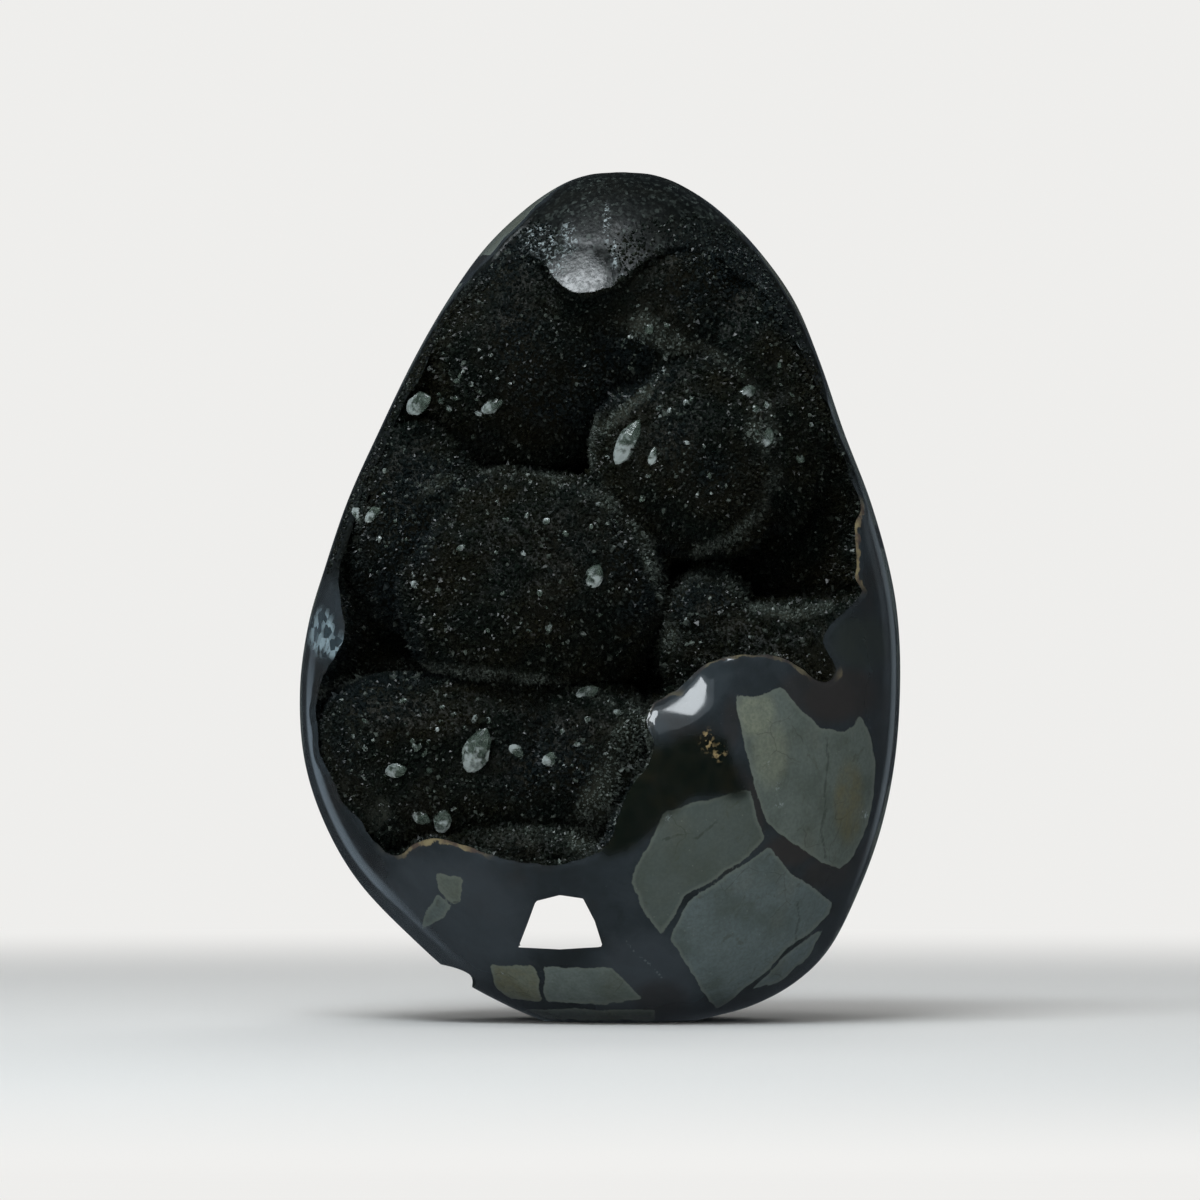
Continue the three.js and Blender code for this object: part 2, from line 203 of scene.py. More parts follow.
def unevenness(x, y, z, size, seed):
    """Smooth unevenness from about -1 to 1, whose bumps are about size across.

    It is the same as in the solids, and its factors only keep the waves from lining up.
    """
    k = 2 * math.pi / size
    first = np.sin(k * (x + 0.37 * z) + seed) * np.sin(k * (0.93 * y - 0.41 * x) + 2.1 * seed)
    second = np.sin(k * (0.88 * z + 0.52 * y) + 3.7 * seed) * np.sin(k * (0.71 * x - 0.64 * z) + 1.3 * seed)
    return 0.7 * (first + second)


def hashed(cells, seed):
    """A repeatable number from -1 to 1 for each whole-numbered cell."""
    mixed = np.full(len(cells), seed * SEED_FACTOR & HASH_MASK, np.int64)
    for axis, prime in enumerate(NOISE_PRIMES):
        mixed ^= (cells[:, axis] * prime) & HASH_MASK
    for shift, factor in MIX_STEPS:
        mixed = ((mixed ^ (mixed >> shift)) * factor) & HASH_MASK
    return (mixed ^ (mixed >> LAST_SHIFT)) / (HASH_MASK / 2) - 1


def noise(points, size, seed):
    """Smooth random unevenness from -1 to 1 at points, with no repeats."""
    scaled = points / size
    cells = np.floor(scaled).astype(np.int64)
    part = scaled - cells
    part = part * part * (3 - 2 * part)
    total = np.zeros(len(points))
    for corner in np.ndindex(2, 2, 2):
        share = np.prod(np.where(corner, part, 1 - part), axis=1)
        total += share * hashed(cells + corner, seed)
    return total


def smooth_step(low, high, value):
    """From 0 at low to 1 at high, with a soft start and end."""
    t = np.clip((value - low) / (high - low), 0, 1)
    return t * t * (3 - 2 * t)


def outline_distance(points, outline):
    """Distance from 2-D points to a closed outline, negative inside it."""
    outline = np.asarray(outline, float)
    nearest = np.full(len(points), np.inf)
    inside = np.zeros(len(points), bool)
    for start, end in zip(outline, np.roll(outline, -1, axis=0)):
        nearest = np.minimum(nearest, segment_distance(points, start, end))
        crosses = (start[1] > points[:, 1]) != (end[1] > points[:, 1])
        rise = end[1] - start[1] or TINY
        meets = start[0] + (points[:, 1] - start[1]) * (end[0] - start[0]) / rise
        inside ^= crosses & (points[:, 0] < meets)
    return np.where(inside, -nearest, nearest)


def segment_distance(points, start, end):
    """Distance from points to a straight line between two others."""
    start, end = np.asarray(start, float), np.asarray(end, float)
    along = end - start
    reach = points - start
    share = np.clip(reach @ along / (along @ along), 0, 1)
    return np.linalg.norm(reach - share[:, None] * along, axis=1)


# The egg
PROFILE = catmull_rom(EGG_LEVELS, 24, closed=False)
PROFILE_HEIGHT = np.maximum.accumulate(PROFILE[:, 0])


def egg_section(height):
    """Middle x, half width and half depth of the egg at each height."""
    left = np.interp(height, PROFILE_HEIGHT, PROFILE[:, 1])
    right = np.interp(height, PROFILE_HEIGHT, PROFILE[:, 2])
    half_width = (right - left) / 2
    half_depth = half_width * DEPTH_RATIO + FOOT_SPREAD * np.exp(-height / FOOT_FADE)
    return (left + right) / 2, half_width, half_depth


def egg_distance(points):
    """About how far each point lies outside the egg's side, negative inside it."""
    middle, half_width, half_depth = egg_section(points[:, 2])
    across = (points[:, 0] - middle) / half_width
    deep = points[:, 1] / half_depth
    radius = np.hypot(across, deep)
    side = (radius - 1) * np.minimum(half_width, half_depth)
    return np.maximum(side, np.maximum(points[:, 2] - PROFILE_HEIGHT[-1], -points[:, 2]))


# The hollow's mouth as a grid of distances, so that it can be read anywhere
GRID_STEP = 0.5
GRID_LOW = np.array([-80.0, -20.0])
GRID_COUNT = (321, 401)
MOUTH_ROUGHNESS = [(6.0, 0.35, 41), (2.2, 0.22, 42), (1.0, 0.12, 43)]


def mouth_grid():
    """Distance to the mouth's slightly rough outline at each place of the grid."""
    xs = GRID_LOW[0] + GRID_STEP * np.arange(GRID_COUNT[0])
    zs = GRID_LOW[1] + GRID_STEP * np.arange(GRID_COUNT[1])
    points = np.stack(np.meshgrid(xs, zs, indexing="ij"), axis=-1).reshape(-1, 2)
    distance = outline_distance(points, catmull_rom(MOUTH, 5, closed=True))
    flat = np.column_stack([points[:, 0], np.zeros(len(points)), points[:, 1]])
    for size, amount, seed in MOUTH_ROUGHNESS:
        distance += amount * noise(flat, size, seed)
    return distance.reshape(GRID_COUNT)


MOUTH_GRID = mouth_grid()


def mouth_wall(points):
    """Distance outside the hollow's own wall, negative inside the hollow."""
    x, y, z = points.T
    depth_share = np.clip((y - WALL_START) / (HOLLOW_BACK - WALL_START), 0, BACK_LIMIT)
    share = BACK_SHARE + (1 - BACK_SHARE) * np.sqrt(1 - depth_share**2)
    middle_x, middle_z = HOLLOW_MIDDLE
    wall = read_grid(MOUTH_GRID, (x - middle_x) / share + middle_x, (z - middle_z) / share + middle_z) * share
    return wall - WALL_UNEVENNESS * unevenness(x, y, z, 17, 0.5)


def read_grid(grid, x, z):
    """The grid's value at each place, evened out between its four nearest ones."""
    column = np.clip((x - GRID_LOW[0]) / GRID_STEP, 0, GRID_COUNT[0] - 1.001)
    row = np.clip((z - GRID_LOW[1]) / GRID_STEP, 0, GRID_COUNT[1] - 1.001)
    i, j = column.astype(int), row.astype(int)
    u, v = column - i, row - j
    low = grid[i, j] * (1 - u) + grid[i + 1, j] * u
    high = grid[i, j + 1] * (1 - u) + grid[i + 1, j + 1] * u
    return low * (1 - v) + high * v


def smooth_lowest(a, b, softness):
    """The lower of two distances, with a soft change from one to the other."""
    mix = np.clip(0.5 + 0.5 * (b - a) / softness, 0, 1)
    return b * (1 - mix) + a * mix - softness * mix * (1 - mix)


def rock_distance(points):
    """Distance to the stone that bounds the hollow: negative in the stone, positive in the open hollow."""
    x, y, z = points.T
    back = y - (WALL_START + BACK_LIMIT * (HOLLOW_BACK - WALL_START))
    rock = -np.maximum(mouth_wall(points), back)
    too_far_out = egg_distance(points) + LUMP_INSET
    for at, half, square, seed in LUMPS.values():
        offset = [(x - at[0]) / half[0], (y - at[1]) / half[1], (z - at[2]) / half[2]]
        length = np.sqrt(offset[0]**2 + offset[1]**2 + offset[2]**2) + TINY
        radius = sum(np.abs(part)**square for part in offset) ** (1 / square) + TINY
        swell = 1 + LUMP_UNEVENNESS * unevenness(*(part / length for part in offset), 1.4, seed)
        reach = np.sqrt((x - at[0])**2 + (y - at[1])**2 + (z - at[2])**2)
        lump = reach * (1 - swell / radius)
        rock = smooth_lowest(rock, np.maximum(lump, too_far_out), LUMP_BLEND)
    return rock


def slope_of(field, points, step=0.05):
    """The field's slope at each point."""
    slopes = []
    for axis in range(3):
        shift = np.zeros(3)
        shift[axis] = step
        slopes.append((field(points + shift) - field(points - shift)) / (2 * step))
    return np.column_stack(slopes)


CUBE_CORNERS = np.array(list(np.ndindex(2, 2, 2)))
CUBE_EDGES = [(a, b) for a, b in np.argwhere(np.triu(np.ones((8, 8)), 1))
              if np.abs(CUBE_CORNERS[a] - CUBE_CORNERS[b]).sum() == 1]


def surface_net(field, low, counts, step):
    """Points and four-sided faces where the field passes through zero, facing the positive side."""
    axes = [low[k] + step * np.arange(counts[k]) for k in range(3)]
    values = np.empty(counts, np.float32)
    for i, x in enumerate(axes[0]):
        plane = np.stack(np.meshgrid([x], axes[1], axes[2], indexing="ij"), axis=-1).reshape(-1, 3)
        values[i] = field(plane).reshape(counts[1:])
    solid = values < 0
    cell_shape = tuple(n - 1 for n in counts)
    solid_corners = np.zeros(cell_shape, np.int8)
    for corner in CUBE_CORNERS:
        solid_corners += shifted(solid, corner, cell_shape)
    cells = np.argwhere((solid_corners > 0) & (solid_corners < 8))
    number = np.full(cell_shape, -1, np.int64)
    number[tuple(cells.T)] = np.arange(len(cells))
    corner_values = np.column_stack([values[tuple((cells + corner).T)] for corner in CUBE_CORNERS])
    total = np.zeros((len(cells), 3))
    crossings = np.zeros(len(cells))
    for a, b in CUBE_EDGES:
        va, vb = corner_values[:, a], corner_values[:, b]
        crossing = (va < 0) != (vb < 0)
        share = np.where(crossing, va / np.where(crossing, va - vb, 1), 0)
        point = CUBE_CORNERS[a] + share[:, None] * (CUBE_CORNERS[b] - CUBE_CORNERS[a])
        total += crossing[:, None] * point
        crossings += crossing
    points = np.asarray(low) + step * (cells + total / crossings[:, None])
    faces = []
    for axis in range(3):
        u, v = (axis + 1) % 3, (axis + 2) % 3
        ahead = np.eye(3, dtype=int)
        inner = [slice(0, counts[k] - 1) if k == axis else slice(1, counts[k] - 1) for k in range(3)]
        here = solid[tuple(inner)]
        there = solid[tuple(slice(1, counts[k]) if k == axis else inner[k] for k in range(3))]
        for wanted, turn in ((here & ~there, 1), (~here & there, -1)):
            at = np.argwhere(wanted) + (1 - ahead[axis])
            ring = [at, at - ahead[u], at - ahead[u] - ahead[v], at - ahead[v]][::turn]
            quads = np.column_stack([number[tuple(cell.T)] for cell in ring])
            faces.append(quads)
    return points, np.vstack(faces)


def shifted(block, corner, shape):
    return block[tuple(slice(c, c + n) for c, n in zip(corner, shape))].astype(np.int8)


def triangles_of(quads):
    return np.vstack([quads[:, [0, 1, 2]], quads[:, [0, 2, 3]]])


def tube_quads(rings, count):
    """Four-sided faces between neighbouring rings, for points that are given ring after ring."""
    level, side = np.meshgrid(np.arange(rings - 1), np.arange(count), indexing="ij")
    a = (level * count + side).ravel()
    b = (level * count + (side + 1) % count).ravel()
    return np.column_stack([a, b, b + count, a + count])


def clipped(points, triangles, values):
    """The part of a surface where values are negative, cut exactly where they pass through zero."""
    kept = values < 0
    count = kept[triangles].sum(axis=1)
    whole = triangles[count == 3]
    pieces = [whole]
    cut_points, cut_keys = [], []
    for wanted in (1, 2):
        cut = triangles[count == wanted]
        odd = kept[cut] if wanted == 1 else ~kept[cut]
        first = odd.argmax(axis=1)
        turn = (first[:, None] + np.arange(3)) % 3
        a, b, c = np.take_along_axis(cut, turn, axis=1).T
        cut_keys.append(((a, b), (a, c)))
        cut_points.append((a, b, c, wanted))
    edges = np.vstack([np.sort(np.column_stack(pair), axis=1) for pairs in cut_keys for pair in pairs])
    unique, number = np.unique(edges, axis=0, return_inverse=True)
    number = number.reshape(-1) + len(points)
    va, vb = values[unique[:, 0]], values[unique[:, 1]]
    share = (va / (va - vb))[:, None]
    new_points = points[unique[:, 0]] * (1 - share) + points[unique[:, 1]] * share
    at = 0
    for a, b, c, wanted in cut_points:
        ab = number[at:at + len(a)]
        ac = number[at + len(a):at + 2 * len(a)]
        at += 2 * len(a)
        if wanted == 1:
            pieces.append(np.column_stack([a, ab, ac]))
        else:
            pieces.append(np.column_stack([ab, b, c]))
            pieces.append(np.column_stack([ab, c, ac]))
    return without_loose(np.vstack([points, new_points]), np.vstack(pieces))


def without_loose(points, faces):
    """The same surface without the points that no face uses."""
    used, number = np.unique(faces, return_inverse=True)
    return points[used], number.reshape(faces.shape)


def largest_part(points, faces):
    """The faces that hang together in the largest connected surface."""
    label = np.arange(len(points))
    while True:
        lowest = label[faces].min(axis=1)
        updated = label.copy()
        for corner in range(faces.shape[1]):
            np.minimum.at(updated, faces[:, corner], lowest)
        updated = updated[updated]
        if np.array_equal(updated, label):
            break
        label = updated
    names, sizes = np.unique(label[faces[:, 0]], return_counts=True)
    return without_loose(points, faces[label[faces[:, 0]] == names[sizes.argmax()]])


def mesh_object(name, points, faces, materials, smooth=True, normals=None, attributes=None):
    """A mesh object from millimetre points, with one value for each point in each named attribute."""
    mesh = bpy.data.meshes.new(name)
    mesh.vertices.add(len(points))
    mesh.vertices.foreach_set("co", (np.asarray(points) * MM).astype(np.float32).ravel())
    corners = faces.shape[1]
    mesh.loops.add(faces.size)
    mesh.loops.foreach_set("vertex_index", faces.astype(np.int32).ravel())
    mesh.polygons.add(len(faces))
    mesh.polygons.foreach_set("loop_start", np.arange(0, faces.size, corners, dtype=np.int32))
    mesh.polygons.foreach_set("use_smooth", np.full(len(faces), smooth))
    for material in materials:
        mesh.materials.append(material)
    mesh.update(calc_edges=True)
    for key, values in (attributes or {}).items():
        layer = mesh.attributes.new(key, "FLOAT", "POINT")
        layer.data.foreach_set("value", np.asarray(values, np.float32))
    if normals is not None:
        mesh.normals_split_custom_set_from_vertices(normals)
    piece = bpy.data.objects.new(name, mesh)
    bpy.context.scene.collection.objects.link(piece)
    return piece


# Shader helpers
class Nodes:
    """A node tree that is built up by short calls."""

    def __init__(self, tree):
        self.tree = tree

    def node(self, kind, inputs=None, **settings):
        made = self.tree.nodes.new(kind)
        for key, value in settings.items():
            setattr(made, key, value)
        for key, value in (inputs or {}).items():
            self.put(made.inputs[key], value)
        return made

    def put(self, socket, value):
        if isinstance(value, bpy.types.NodeSocket):
            self.tree.links.new(value, socket)
        else:
            socket.default_value = value

    def math(self, operation, a, b=0.0, clamp=False):
        return self.node("ShaderNodeMath", {0: a, 1: b}, operation=operation, use_clamp=clamp).outputs[0]

    def step(self, value, low, high, out_low=0.0, out_high=1.0):
        inputs = {"Value": value, "From Min": low, "From Max": high, "To Min": out_low, "To Max": out_high}
        return self.node("ShaderNodeMapRange", inputs, interpolation_type="SMOOTHSTEP").outputs["Result"]

    def dot(self, a, b):
        return self.node("ShaderNodeVectorMath", {0: a, 1: b}, operation="DOT_PRODUCT").outputs["Value"]


class Shader(Nodes):
    """A node material, with the patterns that the materials here are made of."""

    def __init__(self, name):
        self.material = bpy.data.materials.new(name)
        self.material.use_nodes = True
        super().__init__(self.material.node_tree)
        self.base = self.tree.nodes["Principled BSDF"]

    def set(self, **values):
        for key, value in values.items():
            self.put(self.base.inputs[key.replace("_", " ")], value)

    def attribute(self, name):
        return self.node("ShaderNodeAttribute", attribute_name=name).outputs["Fac"]

    def where(self):
        return self.node("ShaderNodeTexCoord").outputs["Object"]

    def noise(self, size_mm, detail=3.0, roughness=0.55, where=None, distortion=0.0):
        inputs = {"Vector": where or self.where(), "Scale": 1 / (size_mm * MM), "Detail": detail,
                  "Roughness": roughness, "Distortion": distortion}
        return self.node("ShaderNodeTexNoise", inputs).outputs["Fac"]

    def cells(self, size_mm, output="Distance", feature="F1", where=None):
        inputs = {"Vector": where or self.where(), "Scale": 1 / (size_mm * MM)}
        return self.node("ShaderNodeTexVoronoi", inputs, feature=feature).outputs[output]

    def warped(self, size_mm, amount):
        """Object coordinates pushed about by noise, so that patterns on them run unevenly."""
        shift = self.node("ShaderNodeTexNoise", {"Vector": self.where(), "Scale": 1 / (size_mm * MM)})
        factors = {0: shift.outputs["Color"], 1: (amount,) * 3}
        scaled = self.node("ShaderNodeVectorMath", factors, operation="MULTIPLY")
        return self.node("ShaderNodeVectorMath", {0: self.where(), 1: scaled.outputs[0]}).outputs[0]

    def mix(self, share, a, b):
        return self.node("ShaderNodeMix", {"Factor": share, 6: a, 7: b}, data_type="RGBA").outputs[2]

    def marks(self, shade, *looks, over):
        """The shade with another colour over it, as strong as all the looks multiplied."""
        strength = looks[0]
        for look in looks[1:]:
            strength = self.math("MULTIPLY", strength, look)
        return self.mix(strength, shade, over)

    def clouded(self, shade, kind):
        """The shade with one kind of the clouds over it."""
        for size_mm, detail, roughness, start, full, strength, tint in CLOUDS[kind]:
            share = self.step(self.noise(size_mm, detail, roughness), start, full, 0.0, strength)
            shade = self.mix(share, shade, colour(*tint))
        return shade

    def bump(self, height, distance_mm, strength=1.0):
        inputs = {"Height": height, "Distance": distance_mm * MM, "Strength": strength}
        self.put(self.base.inputs["Normal"], self.node("ShaderNodeBump", inputs).outputs["Normal"])


def colour(red, green, blue):
    """A colour given as it looks on a screen, from 0 to 255."""
    return tuple((v / 255) ** 2.2 for v in (red, green, blue)) + (1.0,)


# Clouds of other colours over a material's own, one after another: the noise's size in mm, its detail and
# roughness, the values where a cloud starts and is full, its strength and its colour
CLOUDS = {
    "vein": [(9.0, 3.0, 0.5, 0.48, 0.72, 0.6, (46, 44, 42)), (2.2, 5.0, 0.7, 0.5, 0.7, 0.3, (34, 40, 40))],
    "matrix": [
        (8.0, 4.0, 0.55, 0.38, 0.7, 0.6, (70, 78, 72)), (11.0, 5.0, 0.6, 0.5, 0.72, 0.4, (98, 102, 94)),
    ],
    "matrix grain": [(0.6, 3.0, 0.55, 0.35, 0.65, 0.3, (70, 76, 73))],
    "dark field": [(6.0, 3.0, 0.55, 0.5, 0.72, 0.6, (38, 36, 26))],
    "cut crystals": [(6.0, 4.0, 0.55, 0.45, 0.65, 0.6, (19, 20, 14))],
    "raw stone": [(0.8, 3.0, 0.55, 0.5, 0.7, 0.4, (86, 84, 74))],
    "crust": [(0.7, 3.0, 0.55, 0.5, 0.75, 0.35, (42, 46, 42))],
    "small crystals": [(23.0, 3.0, 0.55, 0.45, 0.7, 1.0, (27, 33, 34))],
}


def polished_material():
    s = Shader("polished septarian stone")
    fine = s.noise(1.6, 5.0, 0.65)
    broad = s.noise(16.0, 4.0, 0.6)
    cloudy = s.noise(5.0, 4.0, 0.6, distortion=0.6)
    edge = s.math("ADD", s.attribute("matrix"), s.step(fine, 0.25, 0.75, -0.16, 0.16))
    matrix = matrix_colour(s, edge, broad, cloudy, fine)
    shade = s.mix(s.step(edge, 0.1, -0.1), vein_colour(s, broad, cloudy), matrix)
    shade = marked(s, shade, cloudy, fine)
    shade = s.mix(s.attribute("crystal_look"), shade, druse_colour(s))
    speckled = s.step(s.noise(0.9, 5.0, 0.7, distortion=1.0), 0.52, 0.6)
    shade = s.marks(shade, s.attribute("pale_fleck"), speckled, over=colour(150, 162, 164))
    rim_width = s.step(s.noise(2.5, 3.0), 0.3, 0.7, 0.15, 0.9)
    rim = s.step(s.math("SUBTRACT", s.attribute("mouth"), rim_width), 0.12, -0.12)
    tan = s.mix(s.step(s.noise(3.0), 0.35, 0.65), colour(80, 70, 64), colour(132, 122, 94))
    shade = s.marks(shade, rim, s.attribute("tan_rim"), over=tan)
    s.set(Base_Color=shade, IOR=1.54, Specular_IOR_Level=0.5)
    smooth = s.math("MULTIPLY", s.attribute("polish"), s.step(s.noise(1.6, 5.0, 0.7), 0.35, 0.65, 0.15, 1.0))
    dull = s.math("SUBTRACT", s.attribute("crystal_look"), smooth, clamp=True)
    rough = s.step(s.noise(3.0, 4.0), 0.3, 0.7, 0.06, 0.12)
    s.set(Roughness=s.math("ADD", rough, s.math("MULTIPLY", dull, 0.3)))
    s.bump(s.math("MULTIPLY", s.cells(0.7), dull), 0.1, 0.4)
    return s.material


def vein_colour(s, broad, cloudy):
    """Dark slate calcite, brown in places, with fine pale flecks, and paler and bluer low on the front as
    painted sheen.
    """
    vein = s.mix(s.step(broad, 0.3, 0.7), colour(40, 44, 46), colour(52, 58, 62))
    vein = s.mix(s.step(cloudy, 0.45, 0.75, 0.0, 0.4), vein, colour(60, 66, 70))
    vein = s.clouded(vein, "vein")
    flecks = s.step(s.cells(0.9), 0.16, 0.05)
    fleck_zone = s.step(s.noise(7.0, 2.0), 0.5, 0.66)
    vein = s.marks(vein, flecks, fleck_zone, 0.35, over=colour(96, 100, 100))
    # painted sheen: the veins low on the front paler and bluer
    sheen_tint = s.mix(cloudy, colour(60, 66, 70), colour(72, 78, 84))
    vein = s.marks(vein, s.attribute("painted_sheen_vein"), 0.7, over=sheen_tint)
    brown = s.mix(cloudy, colour(48, 47, 47), colour(60, 58, 57))
    return s.mix(s.attribute("brown_patch"), vein, brown)


def matrix_colour(s, edge, broad, cloudy, fine):
    """Grey-green, bluish or olive mudstone with clouds, grain, stains and cracks."""
    dull = s.mix(broad, colour(72, 82, 80), colour(86, 94, 88))
    bright = s.mix(broad, colour(108, 118, 111), colour(123, 131, 122))
    matrix = s.mix(s.attribute("paleness"), dull, bright)
    bluish = s.mix(cloudy, colour(82, 96, 103), colour(102, 114, 120))
    matrix = s.marks(matrix, s.attribute("blue"), 0.8, over=bluish)
    matrix = s.clouded(matrix, "matrix")
    patchy = s.step(cloudy, 0.2, 0.6, 0.5, 0.9)
    matrix = s.marks(matrix, s.attribute("pale_matrix"), patchy, over=colour(128, 134, 118))
    patchy = s.step(cloudy, 0.25, 0.7, 0.3, 0.9)
    matrix = s.marks(matrix, s.attribute("olive"), patchy, over=colour(102, 98, 72))
    matrix = s.clouded(matrix, "matrix grain")
    stain = s.step(s.noise(3.6, 5.0, 0.7, distortion=1.4), 0.56, 0.72, 0.0, 0.55)
    matrix = s.mix(stain, matrix, colour(72, 76, 66))
    seam = s.cells(7.0, feature="DISTANCE_TO_EDGE", where=s.warped(2.5, 0.0016))
    hairline = s.step(seam, 0.02, 0.0, 0.0, 0.4)
    matrix = s.marks(matrix, hairline, s.step(s.noise(11.0), 0.5, 0.6), over=colour(60, 62, 54))
    matrix = s.marks(matrix, s.step(s.cells(1.7), 0.1, 0.04), 0.3, over=colour(136, 142, 134))
    matrix = s.mix(s.step(edge, -0.8, -0.1, 0.0, 0.4), matrix, colour(112, 120, 112))
    crack = s.step(s.math("ADD", s.attribute("crack"), s.step(fine, 0.2, 0.8, -0.15, 0.15)), 0.34, 0.1)
    return s.marks(matrix, crack, 0.45, over=colour(48, 52, 46))


def marked(s, shade, cloudy, fine):
    """The dark field, gold flecks, clouds and scratches over veins and matrix alike."""
    black = s.mix(s.step(s.noise(2.0, 4.0), 0.35, 0.65), colour(19, 25, 20), colour(28, 31, 25))
    black = s.clouded(black, "dark field")
    shade = s.marks(shade, s.attribute("dark_field"), s.step(cloudy, 0.2, 0.6, 0.88, 1.0), over=black)
    speckled = s.step(s.noise(0.8, 4.0), 0.5, 0.6)
    shade = s.marks(shade, s.attribute("gold"), speckled, over=colour(150, 132, 96))
    facets = s.mix(s.step(s.cells(1.5, "Color"), 0.3, 0.8), colour(58, 70, 76), colour(150, 170, 178))
    shade = s.marks(shade, s.attribute("blue_cloud"), s.step(fine, 0.3, 0.5), over=facets)
    patchy = s.step(cloudy, 0.3, 0.7, 0.4, 0.9)
    shade = s.marks(shade, s.attribute("grey_cloud"), patchy, over=colour(52, 57, 54))
    scratch = s.step(s.math("ADD", s.attribute("scratch"), s.step(fine, 0.3, 0.7, -0.08, 0.08)), 0.24, 0.08)
    return s.marks(shade, scratch, 0.4, over=colour(112, 122, 124))


def druse_colour(s):
    """Small crystals cut through by the polish: nearly black, with scattered pale ones."""
    tone = s.math("POWER", s.cells(0.6, "Color"), 5.0)
    druse = s.mix(tone, colour(11, 14, 12), colour(70, 78, 74))
    druse = s.clouded(druse, "cut crystals")
    zone = s.step(s.noise(8.0, 3.0), 0.45, 0.65)
    return s.marks(druse, s.step(s.cells(1.1), 0.14, 0.06), zone, 0.6, over=colour(110, 120, 118))


def raw_stone_material():
    s = Shader("raw stone in the window")
    shade = s.mix(s.noise(3.0, 5.0, 0.65), colour(34, 38, 40), colour(66, 70, 70))
    shade = s.clouded(shade, "raw stone")
    s.set(Base_Color=shade, Roughness=0.55, Specular_IOR_Level=0.35)
    s.bump(s.noise(0.9, 5.0, 0.7), 0.25, 0.7)
    return s.material


def crust_material():
    s = Shader("dark crust between the crystals")
    shade = s.mix(s.step(s.noise(11.0, 4.0, 0.6), 0.35, 0.65), colour(17, 22, 19), colour(27, 27, 20))
    shade = s.clouded(shade, "crust")
    # painted light: the crust lighter along its rim low in the hollow and on the strips
    shade = s.mix(s.attribute("lit_rim"), shade, colour(66, 70, 62))
    s.set(Base_Color=shade, Roughness=0.55, Specular_IOR_Level=0.2)
    s.bump(s.cells(0.45), 0.15, 0.8)
    return s.material


def grain_material():
    s = Shader("small dark crystals")
    tone = s.attribute("tone")
    dark = s.mix(s.step(s.noise(11.0, 4.0, 0.6), 0.35, 0.65), colour(23, 29, 25), colour(32, 32, 24))
    dark = s.clouded(dark, "small crystals")
    # the pale tones include painted light from the strips
    shade = s.mix(s.step(tone, 0.05, 0.6), dark, colour(86, 94, 88))
    shade = s.mix(s.step(tone, 0.6, 1.0), shade, colour(140, 150, 146))
    s.set(Base_Color=shade, Roughness=s.step(s.noise(1.0, 1.0), 0.3, 0.7, 0.22, 0.45))
    s.set(Specular_IOR_Level=0.3, IOR=1.5)
    return s.material


def pale_crystal_material():
    s = Shader("pale crystal")
    shade = s.mix(s.step(s.noise(1.1, 4.0, 0.65), 0.3, 0.7), colour(58, 70, 62), colour(108, 122, 112))
    uneven = s.step(s.noise(1.3, 3.0), 0.3, 0.7, -0.3, 0.3)
    # bright: a painted glint at one end of the long crystals, an even random tone on the short ones
    bright = s.step(s.math("ADD", s.attribute("bright"), uneven), 0.35, 0.9)
    shade = s.mix(bright, shade, colour(196, 208, 206))
    s.set(Base_Color=shade, Roughness=0.14, IOR=1.57, Transmission_Weight=0.5)
    s.bump(s.noise(0.6, 4.0), 0.08, 0.7)
    return s.material


# The floor's colour next to the stone, the surround's, and how far from the middle one turns into the other
FLOOR_COLOUR = (0.8, 0.79, 0.77, 1.0)
PALE = (0.86, 0.855, 0.84, 1.0)
BLACK = (0.0, 0.0, 0.0, 1.0)
FLOOR_TURNS_PALE = (0.22, 0.56)


def floor_material():
    """Pale matt floor that turns evenly bright towards its edge, where the surround begins."""
    s = Shader("pale studio floor")
    radius = s.node("ShaderNodeVectorMath", {0: s.where()}, operation="LENGTH").outputs["Value"]
    far = s.step(radius, *FLOOR_TURNS_PALE)
    s.set(Base_Color=s.mix(far, FLOOR_COLOUR, BLACK), Roughness=0.75, Specular_IOR_Level=0.0)
    s.set(Emission_Color=PALE, Emission_Strength=far)
    return s.material


def surround_material():
    s = Shader("pale studio surround")
    s.set(Base_Color=BLACK, Roughness=1.0, Specular_IOR_Level=0.0)
    s.set(Emission_Color=PALE, Emission_Strength=1.0)
    return s.material


# The polished skin
SKIN_LEVELS = 250
SKIN_FRONT_SIDES = 250
SKIN_BACK_SIDES = 130
OVERLAP = 0.04  # how far the skin and the crust run past the edge that they share
POLE_MARGIN = 0.03  # the egg's slope is read at least this far from its top and bottom


def skin_rings():
    """Heights spread evenly along the egg's outline."""
    run = np.hypot(np.diff(PROFILE[:, 0]), np.diff((PROFILE[:, 2] - PROFILE[:, 1]) / 2))
    along = np.concatenate([[0], np.cumsum(run)])
    even = np.linspace(0, along[-1], SKIN_LEVELS)
    return np.interp(even, along, PROFILE_HEIGHT)


def skin_angles():
    """Angles round the egg, closer together on its front, which is at -90 degrees."""
    front = np.linspace(-math.pi, 0, SKIN_FRONT_SIDES, endpoint=False)
    back = np.linspace(0, math.pi, SKIN_BACK_SIDES, endpoint=False)
    return np.concatenate([front, back])


def skin_mesh():
    """The egg's whole side, as rings from its foot to its top."""
    heights = skin_rings()
    angles = skin_angles()
    middle, half_width, half_depth = egg_section(heights)
    x = middle[:, None] + half_width[:, None] * np.cos(angles)
    y = half_depth[:, None] * np.sin(angles)
    z = np.repeat(heights[:, None], len(angles), axis=1)
    points = np.stack([x, y, z], axis=-1).reshape(-1, 3)
    return points, triangles_of(tube_quads(len(heights), len(angles)))


def skin_normals(points):
    """The egg's own slope, so that reflections run over it without facets."""
    slope = slope_of(egg_side, points, 0.02)
    return slope / np.linalg.norm(slope, axis=1, keepdims=True)


